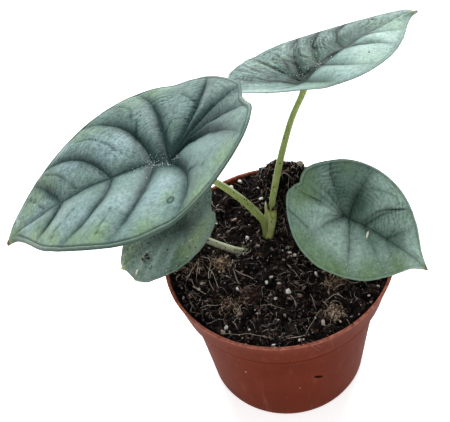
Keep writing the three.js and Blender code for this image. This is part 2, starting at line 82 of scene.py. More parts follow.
def camera_axes(pitch, roll):
    """Right, up and backward directions: pitched down from +Y, then rolled about the view."""
    p, r = math.radians(pitch), math.radians(roll)
    ahead = np.array([0.0, math.cos(p), -math.sin(p)])
    right = np.array([1.0, 0.0, 0.0])
    up = np.cross(right, ahead)
    return math.cos(r) * right + math.sin(r) * up, math.cos(r) * up - math.sin(r) * right, -ahead


def placed(name, data, axes, place):
    """A camera or light of the scene. An object takes its axes and its place, in metres, as
    the columns of a matrix."""
    thing = bpy.data.objects.new(name, data)
    bpy.context.scene.collection.objects.link(thing)
    matrix = np.eye(4)
    matrix[:3, :3] = np.stack(axes, axis=1)
    matrix[:3, 3] = np.array(place) * MM
    thing.matrix_world = [list(map(float, column)) for column in matrix.T]
    return thing


camera_data = bpy.data.cameras.new("camera")
camera_data.lens = CAMERA_LENS
camera_data.sensor_width = FILM_WIDTH
camera_data.sensor_fit = "HORIZONTAL"
camera_data.clip_end = CAMERA_REACH
camera = placed("camera", camera_data, camera_axes(CAMERA_PITCH, CAMERA_ROLL), CAMERA_PLACE)
bpy.context.scene.camera = camera
print("camera at", [round(v, 3) for v in camera.matrix_world.translation])

# %% [markdown]
# ## Small tools
#
# Everything organic needs noise: a number that wanders smoothly over the surface. Blender
# has noise textures, but a shape has to be real geometry, so this noise is numpy too and
# works on whole arrays. A second tool measures how far each point of a leaf lies from a
# vein, which drives both the grooves and the colours.

# %% Noise and distances
WAVE_STEPS = (127.1, 311.7, 74.7)
WAVE_HEIGHT = 43758.5453


def lattice(i, j, seed):
    """A number from 0 to 1 for each whole-number place: the part after the point of a very
    tall sine wave, which jumps about as if at random."""
    wave = np.sin(i * WAVE_STEPS[0] + j * WAVE_STEPS[1] + seed * WAVE_STEPS[2]) * WAVE_HEIGHT
    return wave - np.floor(wave)


def partway(start, end, share):
    """The number that lies at a share of the way from start to end."""
    return start + (end - start) * share


def noise(x, y, size, seed=0):
    """Smooth noise from -1 to 1: the four lattice numbers round a point, blended by s*s*(3-2s)."""
    u, v = x / size, y / size
    i, j = np.floor(u), np.floor(v)
    s, t = u - i, v - j
    s, t = s * s * (3 - 2 * s), t * t * (3 - 2 * t)
    near = lattice(i, j, seed) * (1 - s) + lattice(i + 1, j, seed) * s
    far = lattice(i, j + 1, seed) * (1 - s) + lattice(i + 1, j + 1, seed) * s
    return 2 * (near * (1 - t) + far * t) - 1


def nearest_on_path(x, y, path, values=None):
    """Least distance from each point to the straight pieces between a path's points, and the
    value that the path carries at that nearest place."""
    values = np.zeros(len(path)) if values is None else values
    best, found = np.full(np.shape(x), 1e9), np.zeros(np.shape(x))
    for (ax, ay), (bx, by), start, end in zip(path[:-1], path[1:], values[:-1], values[1:]):
        dx, dy = bx - ax, by - ay
        share = np.clip(((x - ax) * dx + (y - ay) * dy) / (dx * dx + dy * dy + 1e-9), 0, 1)
        apart = np.hypot(x - ax - share * dx, y - ay - share * dy)
        found = np.where(apart < best, partway(start, end, share), found)
        best = np.minimum(best, apart)
    return best, found


def step(value, low, high):
    """0 below low and 1 above high, with t*t*(3-2t) between."""
    t = np.clip((value - low) / (high - low), 0, 1)
    return t * t * (3 - 2 * t)


def smooth_path(points, count):
    """Points along a Catmull-Rom curve through the given ones, evenly spaced by length."""
    p = np.asarray(points, float)
    p = np.vstack([2 * p[0] - p[1], p, 2 * p[-1] - p[-2]])
    place = np.linspace(0, len(p) - 3 - 1e-9, 40 * len(p))
    i = place.astype(int)
    t = (place - i)[:, None]
    a, b, c, d = p[i], p[i + 1], p[i + 2], p[i + 3]
    curve = 0.5 * (2 * b + (c - a) * t + (2 * a - 5 * b + 4 * c - d) * t ** 2
                   + (3 * b - a - 3 * c + d) * t ** 3)
    length = np.concatenate([[0], np.cumsum(np.linalg.norm(np.diff(curve, axis=0), axis=1))])
    even = np.linspace(0, length[-1], count)
    return np.stack([np.interp(even, length, curve[:, k]) for k in range(p.shape[1])], axis=1)


print("noise at 0, 1, 2 and 3 mm:", noise(np.arange(4.0), np.zeros(4), 2.0).round(2))

# %% [markdown]
# A mesh is a list of points and a list of faces. The tool below takes both as arrays,
# turns the surface so that its faces point outwards, and stores extra numbers on the
# points, such as how dark a vein is there, for the finishes to read.

# %% Arrays into a mesh
UV_PER_MM = 0.01


def volume_of(points, corners, sizes):
    """Signed volume by the sum of a.(b x c)/6 over each face cut into triangles."""
    quads = corners[:4 * sizes[0]].reshape(-1, 4)
    triangles = corners[4 * sizes[0]:].reshape(-1, 3)
    fans = np.vstack([quads[:, [0, 1, 2]], quads[:, [0, 2, 3]], triangles])
    a, b, c = (points[fans[:, k]] for k in range(3))
    return np.einsum("ij,ij->i", a, np.cross(b, c)).sum() / 6


def piece_from(name, points, quads, triangles=(), layers=None, uv=None, outward=True):
    """An object with these points and this plan UV, both in mm, faces and point attributes."""
    quads = np.asarray(quads, np.int32).reshape(-1, 4)
    triangles = np.asarray(triangles, np.int32).reshape(-1, 3)
    corners = np.concatenate([quads.ravel(), triangles.ravel()])
    if outward and volume_of(points, corners, (len(quads), len(triangles))) < 0:
        corners = np.concatenate([quads[:, ::-1].ravel(), triangles[:, ::-1].ravel()])
    mesh = bpy.data.meshes.new(name)
    mesh.vertices.add(len(points))
    mesh.vertices.foreach_set("co", (np.asarray(points) * MM).astype(np.float32).ravel())
    mesh.loops.add(len(corners))
    mesh.polygons.add(len(quads) + len(triangles))
    starts = np.concatenate([4 * np.arange(len(quads)), 4 * len(quads) + 3 * np.arange(len(triangles))])
    mesh.polygons.foreach_set("loop_start", starts.astype(np.int32))
    mesh.polygons.foreach_set("vertices", corners.astype(np.int32))
    if uv is not None:
        layer = mesh.uv_layers.new(name="plan")
        layer.data.foreach_set("uv", (uv[corners] * UV_PER_MM).astype(np.float32).ravel())
    for key, values in (layers or {}).items():
        mesh.attributes.new(key, "FLOAT", "POINT").data.foreach_set("value", values.astype(np.float32))
    mesh.update(calc_edges=True)
    mesh.validate()
    mesh.shade_smooth()
    piece = bpy.data.objects.new(name, mesh)
    bpy.context.scene.collection.objects.link(piece)
    return piece


def grid_quads(rows, columns, wrap=False):
    """Quads between neighbouring points of a grid that is stored row by row."""
    i, j = np.meshgrid(np.arange(rows - 1), np.arange(columns if wrap else columns - 1), indexing="ij")
    k = (j + 1) % columns
    return np.stack([i * columns + j, i * columns + k, (i + 1) * columns + k, (i + 1) * columns + j],
                    axis=-1).reshape(-1, 4)


def round_angles(count):
    """Even angles round a full turn."""
    return np.linspace(0, 2 * np.pi, count, endpoint=False)


def circled(radius, turn, height):
    """Points at these distances from the Z axis, angles and heights."""
    return np.stack([radius * np.cos(turn), radius * np.sin(turn), height + 0 * turn], axis=-1)


def capped(rings, first, last):
    """Points, quads and triangles of a tube of rings, closed to a point at each end."""
    count, sides = rings.shape[:2]
    points = np.vstack([rings.reshape(-1, 3), first, last])
    k = np.arange(sides)
    after = (k + 1) % sides
    top = (count - 1) * sides
    triangles = np.vstack([np.stack([after, k, np.full(sides, count * sides)], axis=1),
                           np.stack([top + k, top + after, np.full(sides, count * sides + 1)], axis=1)])
    return points, grid_quads(count, sides, wrap=True), triangles


def keep(piece, node, slot_name):
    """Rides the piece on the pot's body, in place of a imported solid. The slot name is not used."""
    if node:
        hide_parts(node)
    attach(piece, "root")
    piece.data.calc_loop_triangles()
    print(f"{piece.name}: {len(piece.data.loop_triangles)} triangles")
    return piece


print("quads of 3 rings of 8 points:", len(grid_quads(3, 8, wrap=True)))

# %% [markdown]
# ## Writing finishes as sums
#
# A finish in Blender is a graph of nodes. Drawn by hand, a simple sum is three boxes and
# five wires. Here a small class wraps a socket and gives it +, - and *, so a mask is
# written as an expression, and one method adds any other kind of node.

# %% Shader arithmetic
class Value:
    """A socket that takes part in sums: each operator adds the Math node of that name."""

    def __init__(self, finish, socket):
        self.finish = finish
        self.socket = socket

    def __add__(self, other):
        return self.finish.math("ADD", self, other)

    def __mul__(self, other):
        return self.finish.math("MULTIPLY", self, other)

    def __sub__(self, other):
        return self.finish.math("SUBTRACT", self, other)

    def __rsub__(self, other):
        return self.finish.math("SUBTRACT", other, self)

    def __abs__(self):
        return self.finish.math("ABSOLUTE", self)

    __radd__ = __add__
    __rmul__ = __mul__

    def clipped(self):
        """The value kept between 0 and 1."""
        return self.finish.math("ADD", self, 0.0, clamp=True)

    def between(self, low, high):
        """0 below low and 1 above high, with a smooth step between."""
        return self.finish.add("ShaderNodeMapRange", {"interpolation_type": "SMOOTHSTEP"},
                               {"Value": self, "From Min": low, "From Max": high})


class Finish:
    """A material and the nodes that make it."""

    def __init__(self, name):
        self.material = bpy.data.materials.new(name)
        self.material.use_nodes = True
        self.tree = self.material.node_tree
        self.shader = self.tree.nodes["Principled BSDF"]

    def add(self, kind, settings=None, sockets=None, output=0):
        """Any node: its settings first, a ramp's stops among them, then values or links."""
        node = self.tree.nodes.new(kind)
        for key, setting in (settings or {}).items():
            if key == "stops":
                self.set_stops(node.color_ramp, setting)
            else:
                setattr(node, key, setting)
        for key, given in (sockets or {}).items():
            self.feed(node.inputs[key], given)
        return Value(self, node.outputs[output])

    def math(self, operation, *values, clamp=False):
        """A Math node over these numbers or sockets."""
        return self.add("ShaderNodeMath", {"operation": operation, "use_clamp": clamp},
                        dict(enumerate(values)))

    def set_stops(self, ramp, stops):
        """Gives a ramp these places and colours, with new stops where it has too few."""
        while len(ramp.elements) < len(stops):
            ramp.elements.new(1.0)
        for element, (place, colour) in zip(ramp.elements, stops):
            element.position = place
            element.color = colour

    def feed(self, socket, given):
        """Links a value to a socket, or sets a number or colour on it."""
        if isinstance(given, Value):
            self.tree.links.new(given.socket, socket)
        else:
            socket.default_value = given

    def surface(self, **sockets):
        """Sets the shader's own sockets, with underscores for the spaces in their names."""
        for key, given in sockets.items():
            self.feed(self.shader.inputs[key.replace("_", " ")], given)
        return self

    def stored(self, name):
        """A number that the mesh carries on its points."""
        return self.add("ShaderNodeAttribute", {"attribute_name": name}, output="Fac")

    def blend(self, first, second, share, way="MIX"):
        """The first colour turned towards the second by a share. The Mix node has a socket of
        each name for every kind of value, so those of the colours are told by number."""
        return self.add("ShaderNodeMix", {"data_type": "RGBA", "blend_type": way, "clamp_factor": True},
                        {0: share, 6: first, 7: second}, output=2)

    def toned(self, colour, tone):
        """The colour times a number: lighter above 1, darker below."""
        return self.blend(colour, tone, 1.0, "MULTIPLY")

    def coats(self, colour, *coats):
        """The colour under thin coats, each given as a screen colour and its share."""
        for code, share in coats:
            colour = self.blend(colour, paint(code), share)
        return colour

    def place(self, stretch=(1.0, 1.0, 1.0), source="Object"):
        """Places on the surface, stretched along each axis."""
        where = self.add("ShaderNodeTexCoord", output=source)
        return self.add("ShaderNodeMapping", {}, {"Vector": where, "Scale": stretch})

    def speckle(self, size, where, detail=3.0, rough=0.55, twist=0.0):
        """Noise from 0 to 1 with blobs of about that size in millimetres."""
        return self.add("ShaderNodeTexNoise", {},
                        {"Vector": where, "Scale": 1 / MM / size, "Detail": detail,
                         "Roughness": rough, "Distortion": twist})

    def woven(self, x, y, z):
        """Noise from 0 to 1 over three numbers of the surface, with one blob to a whole number."""
        where = self.add("ShaderNodeCombineXYZ", {}, {0: x, 1: y, 2: z})
        return self.add("ShaderNodeTexNoise", {}, {"Vector": where, "Scale": 1.0, "Detail": 2.0})

    def bump(self, height, strength, distance, under=None):
        """A normal tilted by a height, given in millimetres of relief."""
        sockets = {"Height": height, "Strength": strength, "Distance": distance * MM}
        if under is not None:
            sockets["Normal"] = under
        return self.add("ShaderNodeBump", {}, sockets)


def paint(code):
    """Scene-linear colour of a six-digit screen colour."""
    parts = [int(code[k:k + 2], 16) / 255 for k in (0, 2, 4)]
    return tuple(((v + 0.055) / 1.055) ** 2.4 if v > 0.04045 else v / 12.92 for v in parts) + (1.0,)


def dress(piece, finish):
    """Gives the whole piece this one finish."""
    piece.data.materials.clear()
    piece.data.materials.append(finish.material)


print("screen grey 808080 is", round(paint("808080")[0], 3), "in scene light")

# %% [markdown]
# ## The leaves
#
# An alocasia leaf is a shield: the stalk joins it from below at a hub, a midrib runs from
# the hub to the tip, and two lobes reach back past the stalk. The blade swells up between
# its sunken veins like a quilt. It could be sculpted, but then four leaves are four jobs.
# Here one set of formulas makes them all: a flat plan with a margin and veins, which is
# then bent and turned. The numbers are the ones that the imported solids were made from, but
# for a third of the margin points, up to four millimetres off, and a softer quilting.

# %% The plan and pose of each leaf
LOW_VEINS = [(7, 31, 2.6), (12, 20, 3.2), (14.5, 7, 4.2), (15, -5.5, 5.5), (10, -12, 7.4), (4, -13, 9.3)]
LEAVES = {
    "left": dict(
        hub=(-47.9, 3.9, 170), length=97, half_width=51, yaw=175.3, pitch=-12.2, roll=-4,
        arch=0.61, back=0.75, fold=0.185, fold_along=0.05, droop=0.22, twist=0.07,
        right=[(0, 97), (4.8, 96.2), (12.2, 91.6), (28, 73.5), (44.4, 46.2), (52.9, 17.5),
               (51.9, -4.4), (41.9, -20.2), (26.1, -33.6), (10.5, -43.5), (2, -44.5), (0, -44.5)],
        left=[(0, 97), (3, 89.5), (10, 82), (27.5, 65.5), (41.5, 41.5), (49, 16),
              (44.5, -7), (41, -29), (31, -45), (17, -50.5), (5.5, -46.5), (0, -44.5)],
        roots=[59, 30, 7.5, 0, 0, 0],
        right_veins=[(19.5, 72, 2.7), (30, 48.5, 2.95), (33.5, 16.5, 3.9), (46, 4, 4.9),
                     (23.5, -23, 7.3), (17, -23, 9.3)],
        left_veins=[(11, 62, 2.5), (20.5, 29, 3.4), (25.5, 8, 4.5), (26.5, -23, 5.9),
                    (-11, -21.5, 8.1), (-11, -22, 9.5)],
        notch_bend=(15.5, -24), relief=2.6, dimple=2.2, margin_drop=1.2),
    "upper": dict(
        hub=(22.4, 49.4, 166), length=73, half_width=38, yaw=29.8, pitch=12.8, roll=23.4,
        arch=0.33, back=0.75, fold=0.17, fold_along=-0.28, droop=0, twist=-0.065,
        right=[(0, 73), (2, 68), (7, 62), (19.8, 50), (32, 34.5), (37.6, 16),
               (31.8, -2.3), (29.3, -19.3), (21, -32.6), (11.8, -36), (4, -32.8), (0, -29)],
        left=[(0, 73), (3.4, 72.4), (10.5, 69.8), (20, 51.4), (30.8, 27.8), (39, 8.8),
              (39.8, -4.9), (33, -13.5), (21.8, -23.8), (10, -29), (2, -28.5), (0, -29)],
        roots=[41, 28, 12, 0, 0, 0],
        right_veins=[(8, 48, 2.4), (18, 44, 3.5), (23, 18, 4.5), (26, 1, 5.6),
                     (16, -16, 7.5), (6, -19, 9.4)],
        left_veins=[(10, 48, 2.6), (17, 28, 3.3), (21, 19, 3.8), (31, 12, 4.25),
                    (17, -3, 6), (9.5, -19, 8.6)],
        notch_bend=(0, -14), relief=2.2, dimple=2, margin_drop=1),
    "right": dict(
        hub=(34.7, -4.3, 120), length=53.5, half_width=29, yaw=-25.7, pitch=-24.9, roll=-15.8,
        arch=0.565, back=0.48, fold=0.14, fold_along=-0.045, droop=0.19, twist=-0.075,
        right=[(0, 53.5), (2, 49), (5.5, 43.5), (15.5, 34), (25, 22.5), (30, 8),
               (30.5, -7), (26.5, -19.5), (18, -28.5), (9.5, -32.5), (3, -31), (0, -29)],
        left=[(0, 53.5), (2.5, 49.9), (6.6, 45), (16.8, 36.2), (26, 23.8), (30.4, 9.6),
              (30, -3), (24.5, -13.5), (16, -23), (8.5, -29), (2.5, -29.5), (0, -29)],
        roots=[24.5, 11, 2.5, 0, 0, 0],
        right_veins=[(6, 28, 2.6), (8, 19, 3.25), (15.5, 8.5, 4.7), (14.5, -14, 6.5),
                     (8.5, -18, 8.1), (2, -15, 9.8)],
        left_veins=[(6.5, 29, 2.8), (18, 21.5, 3.45), (14.5, 0, 5.4), (8, -12, 7.6),
                    (6, -12, 9.1), (2.5, -14, 10.2)],
        notch_bend=(0, -14), relief=1.6, dimple=1.4, margin_drop=0.8),
    "low": dict(
        hub=(-48.1, 12.9, 108), length=47, half_width=24.5, yaw=177.3, pitch=-28.5, roll=10.3,
        arch=0.39, back=0.375, fold=0.27, fold_along=-0.05, droop=0.095, twist=0.12,
        right=[(0, 45.4), (2, 45.6), (5.5, 44.5), (13.5, 36.5), (20.5, 23), (24, 8),
               (24, -5.5), (21, -16), (14.5, -23), (8, -25.5), (2.5, -23.5), (0, -22.5)],
        left=[(0, 45.4), (1.5, 44.3), (5, 41.5), (13.5, 35), (20.5, 23.5), (23.5, 9.5),
              (22.5, -5), (20.5, -17), (14.5, -24.5), (8, -25.5), (3, -23), (0, -22.5)],
        roots=[28, 14, 4, 0, 0, 0], right_veins=LOW_VEINS, left_veins=LOW_VEINS,
        notch_bend=(0, -11), relief=1, dimple=1, margin_drop=0.6),
}
PILLOW_SHARES = np.array([0.55, 0.8, 1, 1.1, 1.1, 0.8, 0.6])
PANELS = len(PILLOW_SHARES)
FRONT_PANELS = 4
print("leaf lengths:", {name: leaf["length"] for name, leaf in LEAVES.items()})

# %% [markdown]
# ### From two parameters to a plan
#
# The first parameter counts the parting lines of one half, from the tip (0) past six
# veins to the notch (7). The second runs along such a line from the midrib (0) to the
# margin (1). Every vein is then a line of the grid itself, so its groove stays crisp.

# %% Plan of a leaf
def margin_points(outline, mate, place):
    """Points of the margin: a cubic Hermite curve through the outline, at places counted in
    its points. The curve leaves the tip along its first straight piece, and passes the notch
    towards the other half's last point but one."""
    p = np.array(outline, float)
    beyond = np.array([[-mate[-2][0], mate[-2][1]]])
    after = np.vstack([p, beyond])
    i = np.minimum(place.astype(int), len(p) - 2)
    s = (place - i)[..., None]
    start, end = p[i], p[i + 1]
    leave = np.where((i > 0)[..., None], (end - p[np.maximum(i - 1, 0)]) / 2, end - start)
    arrive = (after[i + 2] - start) / 2
    return (start * (2 * s ** 3 - 3 * s ** 2 + 1) + leave * (s ** 3 - 2 * s ** 2 + s)
            + end * (3 * s ** 2 - 2 * s ** 3) + arrive * (s ** 3 - s ** 2))


def parting_lines(leaf, side):
    """Root on the midrib, bend point and margin place of the tip, each vein and the notch."""
    veins = leaf["right_veins"] if side > 0 else leaf["left_veins"]
    lines = [(leaf["length"], 0, leaf["length"], 0)]
    lines += [(root, *vein) for root, vein in zip(leaf["roots"], veins)]
    lines.append((0, side * leaf["notch_bend"][0], leaf["notch_bend"][1], len(leaf["right"]) - 1))
    return np.array(lines, float)


def plan_points(leaf, side, column, row):
    """A plan point: a quadratic Bezier from the midrib by the bend point to the margin, with
    all three blended between the two parting lines on either side of the column."""
    lines = parting_lines(leaf, side)
    i = np.minimum(column.astype(int), PANELS - 1)
    share = (column - i)[..., None]
    root, bend_x, bend_y, end = np.moveaxis(lines[i] * (1 - share) + lines[i + 1] * share, -1, 0)
    outline, mate = (leaf["right"], leaf["left"]) if side > 0 else (leaf["left"], leaf["right"])
    margin = margin_points(outline, mate, end)
    pull, out = 2 * row * (1 - row), row * row
    return (side * (pull * bend_x + out * margin[..., 0]),
            (1 - row) ** 2 * root + pull * bend_y + out * margin[..., 1])


def crowded(count, strength):
    """Shares from 0 to 1 that lie closer together at both ends: s - strength*sin(2 pi s)/(2 pi)."""
    s = np.linspace(0, 1, count + 1)
    return s - strength * np.sin(2 * np.pi * s) / (2 * np.pi)


print("six crowded shares:", crowded(5, 0.5).round(2))

# %% [markdown]
# ### Bending the plan
#
# The hub is the plan's origin. The front arches down, the lobes rise behind the hub, both
# halves fold up and droop towards the margin, and a little twist turns the front against
# the lobes. Then the whole blade is turned to its pose.

# %% Bend and pose
SOFTNESS = 0.1


def soft(value, size):
    """A rounded absolute value: sqrt(v*v + s*s) - s."""
    return np.sqrt(value * value + size * size) - size


def pose_axes(leaf):
    """Side, forward and up directions of a blade from its yaw, pitch and roll."""
    yaw, pitch, roll = (math.radians(leaf[key]) for key in ("yaw", "pitch", "roll"))
    forward = np.array([math.cos(yaw) * math.cos(pitch), math.sin(yaw) * math.cos(pitch), math.sin(pitch)])
    level = np.array([math.sin(yaw), -math.cos(yaw), 0.0])
    lift = np.cross(level, forward)
    return (math.cos(roll) * level + math.sin(roll) * lift, forward,
            math.cos(roll) * lift - math.sin(roll) * level)


def bent(leaf, x, y, height):
    """The plan point in the room: arch or back lift, fold, droop and twist added to its height."""
    length = leaf["length"]
    size = SOFTNESS * length
    bow = np.where(y > 0, -leaf["arch"] * y * y / (2 * length), leaf["back"] * soft(y, size))
    fold = (leaf["fold"] + leaf["fold_along"] * y / length) * soft(x, size)
    droop = leaf["droop"] * x * x / (2 * leaf["half_width"])
    z = bow + fold - droop + leaf["twist"] * x * y / length + height
    side, forward, up = pose_axes(leaf)
    return np.array(leaf["hub"]) + x[..., None] * side + y[..., None] * forward + z[..., None] * up


print("the largest blade faces", np.round(pose_axes(LEAVES["left"])[2], 2))
